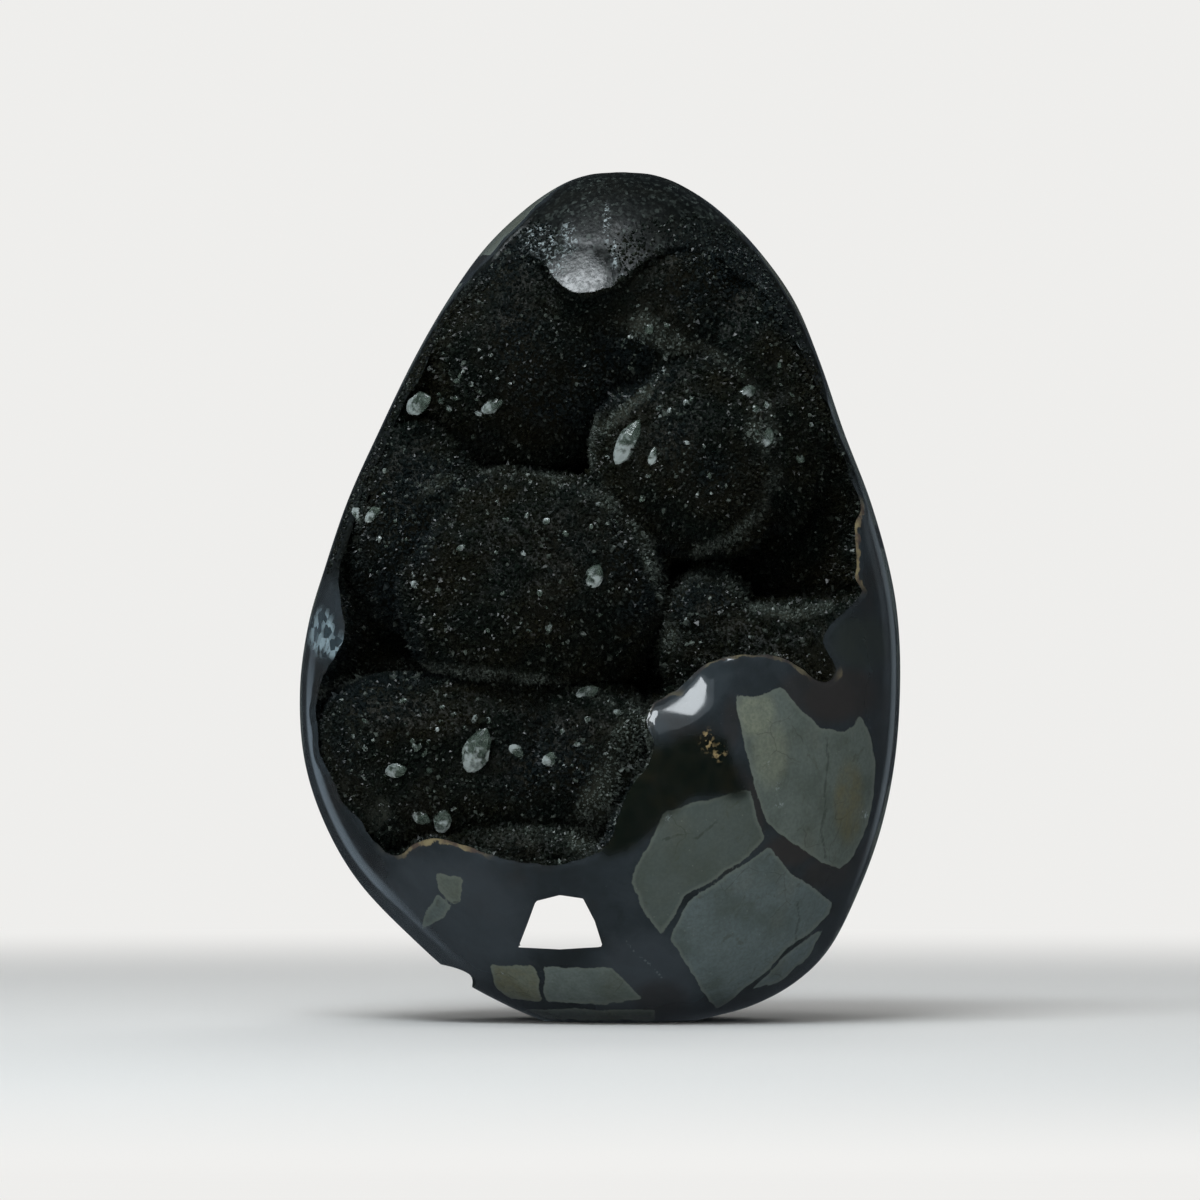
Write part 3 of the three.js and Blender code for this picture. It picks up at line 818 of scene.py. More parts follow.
def egg_side(points):
    height = np.clip(points[:, 2], POLE_MARGIN, PROFILE_HEIGHT[-1] - POLE_MARGIN)
    middle, half_width, half_depth = egg_section(height)
    return ((points[:, 0] - middle) / half_width)**2 + (points[:, 1] / half_depth)**2


def window_growth(depth):
    """How wide the window is at a depth, as a share of its front outline, and how far it has dropped."""
    backness = (depth + WINDOW_REACH) / (2 * WINDOW_REACH)
    return 1 + (WINDOW_FLARE - 1) * backness, WINDOW_DROP * backness


def window_distance(points):
    """Distance outside the window, negative in it."""
    x, y, z = points.T
    share, drop = window_growth(y)
    middle_x, middle_z = WINDOW_MIDDLE
    flat = np.column_stack([(x - middle_x) / share + middle_x, (z - middle_z + drop) / share + middle_z])
    return outline_distance(flat, WINDOW) * share


def notch_distance(points):
    """About how far each point lies outside the notch, negative in it."""
    offset = (points - NOTCH_AT) / NOTCH_HALF
    return (np.linalg.norm(offset, axis=1) - 1) * min(NOTCH_HALF)


def disc_mesh(ring, height):
    """A flat round face whose rim is the ring, facing down where height is 0 and up elsewhere."""
    middle = np.append(ring[:, :2].mean(axis=0), height)
    points = np.vstack([ring, middle])
    count = len(ring)
    a = np.arange(count)
    b = (a + 1) % count
    corners = [b, a, np.full(count, count)] if height == 0 else [a, b, np.full(count, count)]
    return points, np.column_stack(corners)


def front_markings(points):
    """Distance to the nearest matrix piece of the front, and that piece's paleness, olive and blue."""
    wander = [noise(points, 5.5, seed) + 0.5 * noise(points, 2.3, seed + 2) for seed in (44, 45)]
    flat = points[:, [0, 2]] + EDGE_WARP * np.column_stack(wander)
    distance = np.full(len(points), np.inf)
    looks = np.zeros((3, len(points)))
    for outline, *piece_looks in MATRIX_PIECES:
        here = outline_distance(flat, corners_cut(outline))
        nearer = here < distance
        distance = np.where(nearer, here, distance)
        looks = np.where(nearer, np.array(piece_looks)[:, None], looks)
    return distance, *looks


def corners_cut(outline):
    """The outline with two points in place of each corner."""
    outline = np.asarray(outline, float)
    after = np.roll(outline, -1, axis=0)
    first = outline + CORNER_CUT * (after - outline)
    second = after + CORNER_CUT * (outline - after)
    return np.stack([first, second], axis=1).reshape(-1, 2)


def back_markings(points):
    """The same for the sides and back, from the gap between each point's two nearest cells."""
    rng = np.random.default_rng(BACK_SEED)
    heights = rng.uniform(*BACK_HEIGHTS, BACK_TRIES)
    turns = rng.uniform(*BACK_TURNS, BACK_TRIES)
    middle, half_width, half_depth = egg_section(heights)
    spots = np.column_stack([middle + half_width * np.cos(turns), half_depth * np.sin(turns), heights])
    chosen = [0]
    for index in range(1, len(spots)):
        if np.linalg.norm(spots[chosen] - spots[index], axis=1).min() > BACK_SPACING:
            chosen.append(index)
    spots = spots[chosen]
    moved = points
    for size, amount, seeds in BACK_WARPS:
        moved = moved + amount * np.column_stack([noise(points, size, seed) for seed in seeds])
    gaps = np.linalg.norm(moved[:, None] - spots[None], axis=2)
    order = np.argsort(gaps, axis=1)[:, :2]
    near, next_near = (np.take_along_axis(gaps, order[:, k:k + 1], axis=1)[:, 0] for k in (0, 1))
    between = np.linalg.norm(spots[order[:, 0]] - spots[order[:, 1]], axis=1)
    from_edge = (next_near**2 - near**2) / (2 * between)
    width = BACK_VEIN * (1 + 0.75 * noise(points, 22, 67))
    paleness = rng.uniform(0.2, 0.95, len(spots))[order[:, 0]]
    olive = (rng.uniform(0, 1, len(spots)) ** 3)[order[:, 0]] * 0.7
    blue = rng.uniform(0, 1, len(spots))[order[:, 0]]
    return width - from_edge, paleness, olive, blue


# Places on the polished front where a look applies: middle (x, height), reach across and up, strength
PATCHES = {
    "gold": [((18.6, 50.0), (1.3, 2.2), 1.0), ((20.6, 47.8), (1.5, 1.7), 1.0)],
    "pale_fleck": [
        ((-11.0, 138.0), (4.6, 3.2), 1.0), ((-5.5, 138.0), (2.4, 3.6), 0.7), ((1.2, 140.6), (0.9, 4.2), 0.9),
        ((2.6, 135.2), (0.9, 3.4), 0.9), ((5.6, 131.5), (2.6, 0.9), 0.9), ((-9.0, 133.6), (4.4, 3.6), 0.7),
        ((17.4, 134.4), (1.6, 1.5), 0.8), ((18.4, 130.4), (1.6, 2.2), 0.8), ((23.2, 126.8), (2.8, 2.2), 0.8),
        ((28.4, 130.8), (2.6, 1.4), 0.7), ((8.4, 128.7), (0.9, 1.1), 1.0), ((34.8, 118.6), (1.4, 1.8), 1.0),
        ((46.6, 36.8), (0.8, 1.2), 1.0), ((29.0, 45.5), (0.8, 0.8), 0.9), ((31.2, 38.6), (0.8, 0.8), 0.9),
        ((-17.2, 8.6), (0.6, 0.6), 1.0), ((12.0, 36.4), (0.7, 0.5), 0.8), ((31.0, 42.0), (1.0, 0.9), 0.5),
    ],
    "blue_cloud": [((-49.0, 68.6), (3.2, 5.0), 1.0), ((-47.0, 66.5), (3.0, 3.0), 0.8)],
    "grey_cloud": [((46.0, 67.0), (7.0, 6.0), 1.0), ((49.5, 65.6), (1.8, 1.4), 1.0)],
    "pale_matrix": [((27.0, 54.5), (4.5, 5.0), 1.0), ((29.5, 48.0), (4.0, 8.0), 0.6)],
    "brown_patch": [
        ((40.5, 57.0), (7.5, 5.5), 1.0), ((44.0, 58.0), (6.0, 6.0), 0.9), ((35.0, 58.5), (5.0, 4.5), 0.6),
        ((33.0, 30.5), (6.0, 3.5), 0.9), ((40.0, 26.5), (6.0, 4.0), 0.7), ((26.6, 37.0), (2.5, 8.0), 0.8),
        ((22.8, 53.0), (2.0, 6.0), 0.5), ((10.5, 4.0), (6.0, 5.0), 0.6),
    ],
    # painted sheen: veins made paler and bluer low on the front
    "painted_sheen_vein": [((-27.0, 18.0), (20.0, 16.0), 1.0), ((8.0, 7.0), (13.0, 12.0), 1.0)],
    "tan_rim": [
        ((-28.0, 31.5), (12.0, 4.0), 1.0), ((27.5, 62.5), (13.0, 5.0), 0.45), ((45.5, 60.5), (4.5, 4.0), 1.0),
        ((45.5, 84.0), (4.0, 9.5), 1.5), ((12.0, 56.0), (5.0, 6.0), 0.3),
    ],
    "olive_stain": [((43.6, 39.0), (3.4, 9.5), 0.9)],
    "polish": [((-4.6, 131.6), (9.5, 7.0), 0.88)],
}
# The upper part of the polished face cuts through small crystals, more so close to the hollow
CRYSTAL_LOOK_START = 86.0
CRYSTAL_LOOK_FULL = 96.0
CRYSTAL_LOOK_LEFT = 14.0  # how much lower it starts on the left

# The polished face rolls over into the hollow along its rim
RIM_WIDTH = 1.1
RIM_SHARE = 0.4  # depth of the roll as a share of its width
RIM_HEIGHTS = (100, 86)  # the roll fades in downwards between these heights
RIM_DEPTHS = (-3, -8)  # and forwards between these depths
# A wide bevel cuts the ledge's left end, above a line that starts here and curves up to the right
BEVEL_START = (7.0, 49.2)
BEVEL_RISE = 0.15
BEVEL_CURVE = 0.00183
BEVEL_TILT = 0.48  # how deep it goes for each millimetre above that line
BEVEL_STEEPENING = 0.04  # and how much steeper it gets
BEVEL_ROUNDING = 1.2  # height over which its lower edge is rounded
BEVEL_REACH = 7.5  # height above that line where it gets no deeper
BEVEL_AREA = ((6.0, 45.0), (30.0, 66.0))  # its lowest and highest (x, height)
BEVEL_FADE = (18.5, 24.5)  # it fades out to the right between these
# Along the upper mouth the outside is sunk and covered by small crystals
BAND_DEPTH = 0.5
BAND_WIDTH = (9.0, 5.0)  # distances from the mouth where the band starts and where it is full
BAND_BACK = (0, -1.5)  # distances in front of the markings' limit between which it fades in
BAND_LEAST = 0.45  # small crystals stand where the band is stronger than this


def spot_weight(points, at, reach, fade=0.5):
    """1 within an (x, height) ellipse of the front, fading to 0 at its rim."""
    offset = (points[:, [0, 2]] - at) / reach
    inside = 1 - smooth_step(fade, 1.0, np.linalg.norm(offset, axis=1))
    return inside * (points[:, 1] < 0)


def patch_weight(points, patches):
    """The strongest of some patches at each point."""
    return np.maximum.reduce([strength * spot_weight(points, at, reach) for at, reach, strength in patches])


def rim_depth(points):
    """How deep the stone's outside lies under the egg's outline, its sunk band included."""
    return polished_depth(points) + BAND_DEPTH * crystal_band(points)


def polished_depth(points):
    """How deep the rounded rim and the bevel lie under the egg's outline."""
    from_rim = np.clip(mouth_wall(points) / RIM_WIDTH, 0, 1)
    rounded = smooth_step(*RIM_HEIGHTS, points[:, 2]) * smooth_step(*RIM_DEPTHS, points[:, 1])
    return RIM_SHARE * RIM_WIDTH * (1 - from_rim)**2 * rounded + bevel_depth(points)


def crystal_band(points):
    """How far small crystals cover the outside next to the upper mouth, from 0 to 1."""
    near = smooth_step(*BAND_WIDTH, mouth_wall(points) + 2.5 * noise(points, 6, 75))
    high = smooth_step(CRYSTAL_LOOK_START, CRYSTAL_LOOK_FULL, rough_height(points))
    unpolished = 1 - patch_weight(points, PATCHES["polish"])
    return near * high * unpolished * smooth_step(*BAND_BACK, behind_front(points))


def behind_front(points):
    """How far each point lies behind the uneven line where the front's markings end."""
    limit = FRONT_LIMIT + 5.0 * noise(points, 17, 71) + 1.2 * noise(points, 4, 74)
    return points[:, 1] - limit


def rough_height(points):
    """Height, raised on the left, with unevenness."""
    from_left = CRYSTAL_LOOK_LEFT * smooth_step(15, -15, points[:, 0])
    return points[:, 2] + from_left + 4 * noise(points, 9, 72)


def bevel_depth(points):
    """How deep the bevel lies under the egg's outline."""
    x, y, z = points.T
    run = x - BEVEL_START[0]
    above = z - (BEVEL_START[1] + BEVEL_RISE * run + BEVEL_CURVE * np.clip(run, 0, None)**3)
    rounded = np.clip(above, 0, BEVEL_ROUNDING)
    beyond = np.clip(above - BEVEL_ROUNDING, 0, BEVEL_REACH)
    depth = BEVEL_TILT * (rounded**2 / (2 * BEVEL_ROUNDING) + beyond) + BEVEL_STEEPENING * beyond**2 / 2
    low_corner, high_corner = BEVEL_AREA
    within = (x > low_corner[0]) & (x < high_corner[0]) & (z > low_corner[1]) & (z < high_corner[1])
    return depth * (within & (y < 0)) * (1 - smooth_step(*BEVEL_FADE, x))


def skin_attributes(points):
    """What the polished material reads at each point of the skin."""
    front, front_pale, front_olive, front_blue = front_markings(points)
    back, back_pale, back_olive, back_blue = back_markings(points)
    behind = behind_front(points)
    seam = FRONT_SEAM - np.abs(behind)
    is_front = behind < 0
    looks = {name: patch_weight(points, patches) for name, patches in PATCHES.items()}
    looks["crystal_look"] = smooth_step(CRYSTAL_LOOK_START, CRYSTAL_LOOK_FULL, rough_height(points))
    looks["crystal_look"] *= smooth_step(0.4, -0.4, behind)
    field_edge = outline_distance(points[:, [0, 2]], DARK_FIELD) + 1.1 * noise(points, 4, 73)
    looks["dark_field"] = smooth_step(FIELD_FADE, -FIELD_FADE, field_edge) * is_front
    looks["matrix"] = np.clip(np.maximum(np.where(is_front, front, back), seam), -FAR, FAR)
    looks["paleness"] = np.where(is_front, front_pale, back_pale)
    looks["olive"] = np.where(is_front, np.maximum(front_olive, looks.pop("olive_stain")), back_olive)
    looks["blue"] = np.where(is_front, front_blue, back_blue)
    looks["crack"] = np.where(is_front, line_distance(points, CRACKS), FAR)
    looks["scratch"] = np.where(is_front, line_distance(points, SCRATCHES), FAR)
    looks["mouth"] = np.clip(mouth_wall(points), 0, FAR)
    return looks


def line_distance(points, lines):
    """Distance to the nearest of some lines of (x, height) points."""
    flat = points[:, [0, 2]]
    gaps = [segment_distance(flat, start, end) for line in lines for start, end in zip(line, line[1:])]
    return np.minimum(np.min(gaps, axis=0), FAR)


def polished_skin(material):
    """The stone's outside without its openings, and the surface of the band where small crystals stand."""
    whole, triangles = skin_mesh()
    points, triangles = clipped(whole, triangles, rock_distance(whole) - OVERLAP)
    for hole_distance in (window_distance, notch_distance):
        points, triangles = clipped(points, triangles, -hole_distance(points))
    attributes = skin_attributes(points)
    outward = skin_normals(points)
    slope = slope_of(rim_depth, points)
    slope -= outward * (slope * outward).sum(axis=1)[:, None]
    points = points - outward * rim_depth(points)[:, None]
    normals = outward + slope
    normals /= np.linalg.norm(normals, axis=1, keepdims=True)
    in_band = (crystal_band(points)[triangles] > BAND_LEAST).all(axis=1)
    band = without_loose(points, triangles[in_band])
    ring_count = SKIN_FRONT_SIDES + SKIN_BACK_SIDES
    for ring, height in ((whole[:ring_count], 0.0), (whole[-ring_count:], PROFILE_HEIGHT[-1])):
        cap_points, cap_faces = disc_mesh(ring, height)
        cap_attributes = skin_attributes(cap_points)
        attributes = {name: np.append(values, cap_attributes[name]) for name, values in attributes.items()}
        triangles = np.vstack([triangles, cap_faces + len(points)])
        points = np.vstack([points, cap_points])
        cap_normal = np.array([0, 0, -1.0 if height == 0 else 1.0])
        normals = np.vstack([normals, np.tile(cap_normal, (len(cap_points), 1))])
    skin = mesh_object("polished_skin", points, triangles, [material], normals=normals, attributes=attributes)
    return skin, band


# The rough inner faces of the window and the notch
WINDOW_SIDE_STEPS = 14
WINDOW_DEPTHS = np.linspace(-44, 44, 150)
WINDOW_RELIEF = [(4, 0.35, 81), (1.6, 0.2, 82)]  # size, amount and seed
WINDOW_RELIEF_FADE = 3.0  # depth under the polished face over which that relief fades in
NOTCH_TURNS = 90
NOTCH_TILTS = 60


def window_walls(material):
    outline = subdivided(WINDOW, WINDOW_SIDE_STEPS)
    rows = []
    for depth in WINDOW_DEPTHS:
        share, drop = window_growth(depth)
        flat = WINDOW_MIDDLE + (outline - WINDOW_MIDDLE) * share - (0, drop)
        rows.append(np.column_stack([flat[:, 0], np.full(len(flat), depth), flat[:, 1]]))
    points = np.vstack(rows)
    faces = triangles_of(tube_quads(len(WINDOW_DEPTHS), len(outline)))
    inward = slope_of(window_distance, points)
    rough = sum(amount * np.abs(noise(points, size, seed)) for size, amount, seed in WINDOW_RELIEF)
    fade = smooth_step(0.0, WINDOW_RELIEF_FADE, -egg_distance(points))
    points = points + inward * (rough * fade)[:, None]
    points, faces = clipped(points, faces, egg_distance(points) - OVERLAP)
    return mesh_object("window_walls", points, faces, [material])


def notch_floor(material):
    turns = np.linspace(0, 2 * math.pi, NOTCH_TURNS, endpoint=False)
    tilts, turns = np.meshgrid(np.linspace(0, math.pi, NOTCH_TILTS), turns, indexing="ij")
    ball = np.stack([np.sin(tilts) * np.cos(turns), np.cos(tilts), np.sin(tilts) * np.sin(turns)], axis=-1)
    points = np.asarray(NOTCH_AT) + ball.reshape(-1, 3) * NOTCH_HALF
    faces = triangles_of(tube_quads(NOTCH_TILTS, NOTCH_TURNS))
    points, faces = clipped(points, faces, egg_distance(points) - OVERLAP)
    return mesh_object("notch_floor", points, faces, [material])


# The crust in the hollow
NET_LOW = (-54.0, -46.0, 24.0)
NET_STEP = 0.62
NET_COUNTS = (168, 100, 186)
NET_ROUNDS = 2  # how often its points are moved onto the rock's surface
NET_MOST_MOVE = 0.4
RELIEF = [(7.0, 0.5, 21), (3.1, 0.42, 22), (1.5, 0.26, 23), (0.8, 0.15, 24)]  # size, amount and seed
RELIEF_FADE = 1.8  # depth under the polished face over which the crust's unevenness fades in
LIT_RIM_DEPTH = 1.4  # the crust is painted paler, as if lit, within this depth under the polished face
LIT_RIM_HEIGHTS = (80, 70)  # fading in downwards between these heights


def crust_surface():
    """The hollow's whole inner surface with its lumps and fine relief."""
    points, quads = surface_net(rock_distance, NET_LOW, NET_COUNTS, NET_STEP)
    for _ in range(NET_ROUNDS):
        slope = slope_of(rock_distance, points)
        steepness = np.maximum((slope**2).sum(axis=1), 0.2)
        gap = np.clip(rock_distance(points), -NET_MOST_MOVE, NET_MOST_MOVE)
        points = points - slope * (gap / steepness)[:, None]
    slope = slope_of(rock_distance, points)
    normals = slope / np.linalg.norm(slope, axis=1, keepdims=True)
    fade = smooth_step(0.0, RELIEF_FADE, -egg_distance(points))
    relief = sum(amount * noise(points, size, seed) for size, amount, seed in RELIEF)
    points = points + normals * (relief * fade)[:, None]
    triangles = triangles_of(quads)
    points, triangles = clipped(points, triangles, egg_distance(points) + rim_depth(points) - OVERLAP)
    return largest_part(points, triangles)


def crust_base(points, triangles, material):
    """The crust under the small crystals, with painted light along its rim and on the strips."""
    patchy = 0.4 + 0.6 * smooth_step(0, 0.6, noise(points, 6, 31))
    low = smooth_step(*LIT_RIM_HEIGHTS, points[:, 2])
    # painted light along the rim, lower in the hollow
    lit_rim = smooth_step(LIT_RIM_DEPTH, 0.0, -egg_distance(points)) * patchy * low
    lit = np.maximum(lit_rim, painted_light_weight(points))
    return mesh_object("crystal_crust_base", points, triangles, [material], attributes={"lit_rim": lit})


GRAIN_SEED = 11
GRAIN_COUNT = 80000
GRAINS_A_PIECE = 19000
GRAIN_WIDTH = 0.58  # usual width of a small crystal
GRAIN_SPREAD = 0.32
GRAIN_WIDTHS = (0.3, 1.7)
GRAIN_HEIGHTS = (0.55, 1.25)  # as shares of its width
GRAIN_LEAN = 0.38
GRAIN_FLATNESS = (0.6, 1.0)
GRAIN_BELT = (0.1, 0.45)  # height of its widest place, as a share of its own
GRAIN_ROOT = 0.5  # how far it goes into the crust, as the same share
GRAIN_CORNERS = 6
GRAIN_FACES = np.array([
    [0, 1, 4], [1, 2, 4], [2, 3, 4], [3, 0, 4], [1, 0, 5], [2, 1, 5], [3, 2, 5], [0, 3, 5],
])
STRIP_SHRINK = 0.7  # how much smaller the crystals are on the strips of painted light
# Most small crystals are dark, some grey, those on the strips of painted light paler, and a few bright
DARK_SHARE = 0.84
DARK_TONE = 0.1
GREY_TONE = 0.35
PAINTED_LIGHT_TONES = (0.5, 1.4)
BRIGHT_TONES = (0.4, 0.9)
BRIGHT_CHANCE = 0.995
BRIGHT_PATCHY = 0.005  # how much more often they are bright in some places


def face_frames(points, triangles):
    """Corners, facing and area of triangles."""
    a, b, c = (points[triangles[:, k]] for k in range(3))
    cross = np.cross(b - a, c - a)
    area = np.linalg.norm(cross, axis=1) / 2
    return a, b, c, cross / np.maximum(2 * area, TINY)[:, None], area


def scattered(points, triangles, count, rng):
    """Points spread evenly over a surface, with its facing there."""
    a, b, c, facing, area = face_frames(points, triangles)
    chosen = rng.choice(len(triangles), count, p=area / area.sum())
    u, v = rng.random((2, count))
    flip = u + v > 1
    u, v = np.where(flip, 1 - u, u), np.where(flip, 1 - v, v)
    spots = a[chosen] + u[:, None] * (b - a)[chosen] + v[:, None] * (c - a)[chosen]
    return spots, facing[chosen]


def grain_points(spots, facing, width, height, rng):
    """Corners of pointed four-sided crystals that stand on the spots."""
    count = len(spots)
    lean = facing + rng.normal(0, GRAIN_LEAN, (count, 3))
    up = lean / np.linalg.norm(lean, axis=1, keepdims=True)
    side = np.cross(up, rng.normal(0, 1, (count, 3)))
    side /= np.linalg.norm(side, axis=1, keepdims=True)
    other = np.cross(up, side)
    flatness = rng.uniform(*GRAIN_FLATNESS, count)[:, None]
    belt = rng.uniform(*GRAIN_BELT, count)[:, None] * height[:, None]
    corners = []
    for turn in (side, other * flatness, -side, -other * flatness):
        corners.append(spots + up * belt + turn * width[:, None] / 2)
    corners.append(spots + up * height[:, None])
    corners.append(spots - up * height[:, None] * GRAIN_ROOT)
    return np.stack(corners, axis=1)


# Painted light: strips where the small crystals and the crust under them are paler, as lit lump edges and lit
# walls of the hollow: a line of (x, height) points, reach and strength
PAINTED_LIGHT_STRIPS = [
    ([(7.0, 55.0), (3.5, 48.0), (0.0, 40.0), (-3.0, 33.0)], 4.6, 0.5),
    ([(8.5, 51.0), (6.0, 44.5)], 2.6, 0.55),
    ([(-21.0, 30.5), (-14.0, 33.5), (-4.0, 33.0)], 3.4, 0.14),
    ([(-49.0, 58.0), (-40.0, 62.5), (-30.0, 62.6), (-18.0, 61.2), (-6.0, 60.0), (2.0, 56.0)], 1.7, 0.4),
    ([(1.4, 91.5), (5.0, 88.0), (9.0, 80.0), (12.4, 70.0), (12.6, 66.0)], 2.2, 0.26),
    ([(27.0, 72.8), (34.0, 71.6), (40.0, 72.8)], 1.6, 0.42),
    ([(0.5, 104.0), (8.0, 110.5), (12.0, 117.5), (17.5, 119.0), (25.0, 114.0), (29.5, 107.0)], 1.7, 0.34),
    ([(29.5, 106.0), (31.0, 97.0), (27.5, 89.5), (23.5, 85.0), (17.5, 83.0)], 2.2, 0.24),
    ([(-0.5, 106.0), (-1.5, 100.0), (0.5, 94.0), (4.0, 88.5), (9.0, 84.5)], 1.5, 0.26),
    ([(27.0, 104.0), (29.5, 101.5)], 3.2, 0.42),
    ([(7.5, 122.5), (12.5, 119.5)], 3.6, 0.45),
    ([(-30.0, 93.8), (-23.0, 97.4), (-14.0, 96.6), (-7.0, 94.9), (1.0, 91.8)], 1.8, 0.22),
    ([(12.5, 74.0), (16.0, 78.5), (21.5, 78.0), (25.5, 73.5)], 1.6, 0.2),
    ([(-45.0, 97.0), (-42.0, 89.0)], 2.4, 0.16),
]


def painted_light_weight(points):
    """How much painted light the strips put on each point, from 0 to about 1."""
    flat = points[:, [0, 2]]
    weight = np.zeros(len(points))
    for line, reach, strength in PAINTED_LIGHT_STRIPS:
        gap = np.min([segment_distance(flat, start, end) for start, end in zip(line, line[1:])], axis=0)
        weight = np.maximum(weight, strength * (1 - smooth_step(0.2, 1.0, gap / reach)))
    return weight * np.clip(0.85 + 0.7 * noise(points, 4, 35), 0.1, 1.3)


def small_crystals(points, triangles, material):
    """Small crystals all over a surface, in pieces of limited size."""
    rng = np.random.default_rng(GRAIN_SEED)
    spots, facing = scattered(points, triangles, GRAIN_COUNT, rng)
    width = np.clip(rng.lognormal(math.log(GRAIN_WIDTH), GRAIN_SPREAD, GRAIN_COUNT), *GRAIN_WIDTHS)
    width = width * (1 - STRIP_SHRINK * painted_light_weight(spots))
    height = width * rng.uniform(*GRAIN_HEIGHTS, GRAIN_COUNT)
    corners = grain_points(spots, facing, width, height, rng)
    room = egg_distance(corners.reshape(-1, 3)) + np.repeat(polished_depth(spots), GRAIN_CORNERS)
    inside = (room.reshape(-1, GRAIN_CORNERS) < 0.0).all(axis=1)
    rough = noise(spots, 5, 33)
    chance = rng.random(GRAIN_COUNT)
    dark = DARK_TONE * rng.random(GRAIN_COUNT)
    grey = DARK_TONE + GREY_TONE * rng.random(GRAIN_COUNT)**2
    tone = np.where(chance < DARK_SHARE, dark, grey)
    # painted light: crystals on the strips are made paler
    tone = tone + painted_light_weight(spots) * rng.uniform(*PAINTED_LIGHT_TONES, GRAIN_COUNT)
    bright = rng.random(GRAIN_COUNT) * (BRIGHT_TONES[1] - BRIGHT_TONES[0]) + BRIGHT_TONES[0]
    tone = np.where(chance > BRIGHT_CHANCE - BRIGHT_PATCHY * rough, bright, tone)
    corners, tone = corners[inside], tone[inside]
    pieces = []
    for start in range(0, len(corners), GRAINS_A_PIECE):
        block = corners[start:start + GRAINS_A_PIECE]
        faces = (GRAIN_FACES[None] + GRAIN_CORNERS * np.arange(len(block))[:, None, None]).reshape(-1, 3)
        name = f"small_crystals_{start // GRAINS_A_PIECE + 1}"
        tones = np.repeat(tone[start:start + GRAINS_A_PIECE], GRAIN_CORNERS)
        pieces.append(mesh_object(name, block.reshape(-1, 3), faces, [material], smooth=False,
                                  attributes={"tone": tones}))
    return pieces


BLADE_PROFILE = [
    (0.0, -0.5), (0.45, -0.44), (0.8, -0.3), (1.0, -0.1), (0.95, 0.12), (0.7, 0.31), (0.3, 0.44), (0.0, 0.5),
]
BLADE_SIDES = 8
BLADE_FLATNESS = 0.5
BLADE_UNEVENNESS = (0.84, 1.08)
BLADE_STANDS_OUT = 0.22  # how far a crystal's middle stands out of the crust, as a share of its width


def blade_mesh(at, facing, length, width, lean, seed):
    """A flat, uneven leaf-shaped crystal that lies across its facing, and how far along each point is."""
    rng = np.random.default_rng(seed)
    rows = []
    for radius, along in BLADE_PROFILE:
        sides = BLADE_SIDES if radius > 0 else 1
        turns = 2 * math.pi * np.arange(sides) / BLADE_SIDES
        reach = radius * width / 2 * rng.uniform(*BLADE_UNEVENNESS, sides)
        rows.append(np.column_stack([reach * np.sin(turns), reach * np.cos(turns) * BLADE_FLATNESS,
                                     np.full(sides, along * length)]))
    local = np.vstack(rows)
    wanted = np.array([math.sin(math.radians(lean)), 0, math.cos(math.radians(lean))])
    upright = wanted - facing * (wanted @ facing)
    upright /= np.linalg.norm(upright)
    side = np.cross(facing, upright)
    points = np.asarray(at) + local @ np.array([side, facing, upright])
    faces = []
    first_ring = 1
    last = len(points) - 1
    for k in range(BLADE_SIDES):
        after = (k + 1) % BLADE_SIDES
        faces.append((0, first_ring + k, first_ring + after))
        for row in range(len(BLADE_PROFILE) - 3):
            a = first_ring + row * BLADE_SIDES + k
            b = first_ring + row * BLADE_SIDES + after
            faces.append((a, a + BLADE_SIDES, b))
            faces.append((b, a + BLADE_SIDES, b + BLADE_SIDES))
        top = first_ring + (len(BLADE_PROFILE) - 3) * BLADE_SIDES
        faces.append((top + k, last, top + after))
    return points, np.array(faces), local[:, 2] / length + 0.5


# Small pale crystals gather in these places: x, height, reach across, reach up, how many
PALE_PATCHES = [
    (-24.0, 113.0, 9.0, 8.0, 34), (-38.0, 92.0, 5.0, 14.0, 16), (-30.0, 50.0, 16.0, 9.0, 30),
    (-5.0, 50.0, 9.0, 6.0, 10), (12.0, 104.0, 14.0, 14.0, 26), (8.0, 118.0, 12.0, 7.0, 30),
    (-14.0, 80.0, 20.0, 15.0, 24), (30.0, 112.0, 8.0, 14.0, 22), (0.0, 66.0, 14.0, 5.0, 10),
]


PALE_SEED = 17
PALE_SPREAD = 0.35
PALE_LENGTHS = (0.6, 2.0)
PALE_WIDTHS = (0.5, 0.9)  # as shares of their length
PALE_BRIGHTNESS = (0.1, 0.7)
SMALL_BLADE = 2.5  # crystals shorter than this are dimmer and even; longer ones get a painted glint at one end
RAISED_BLADES = {0: 10.0}  # crystals high on the hollow's side wall, and how far in front of its back
RAY_START = -90  # depth in front of the stone from which the place of each crystal is looked for
MOST_SHIFT = 6  # a crystal that sticks out is moved in by this at most
SHIFT_STEPS = 25


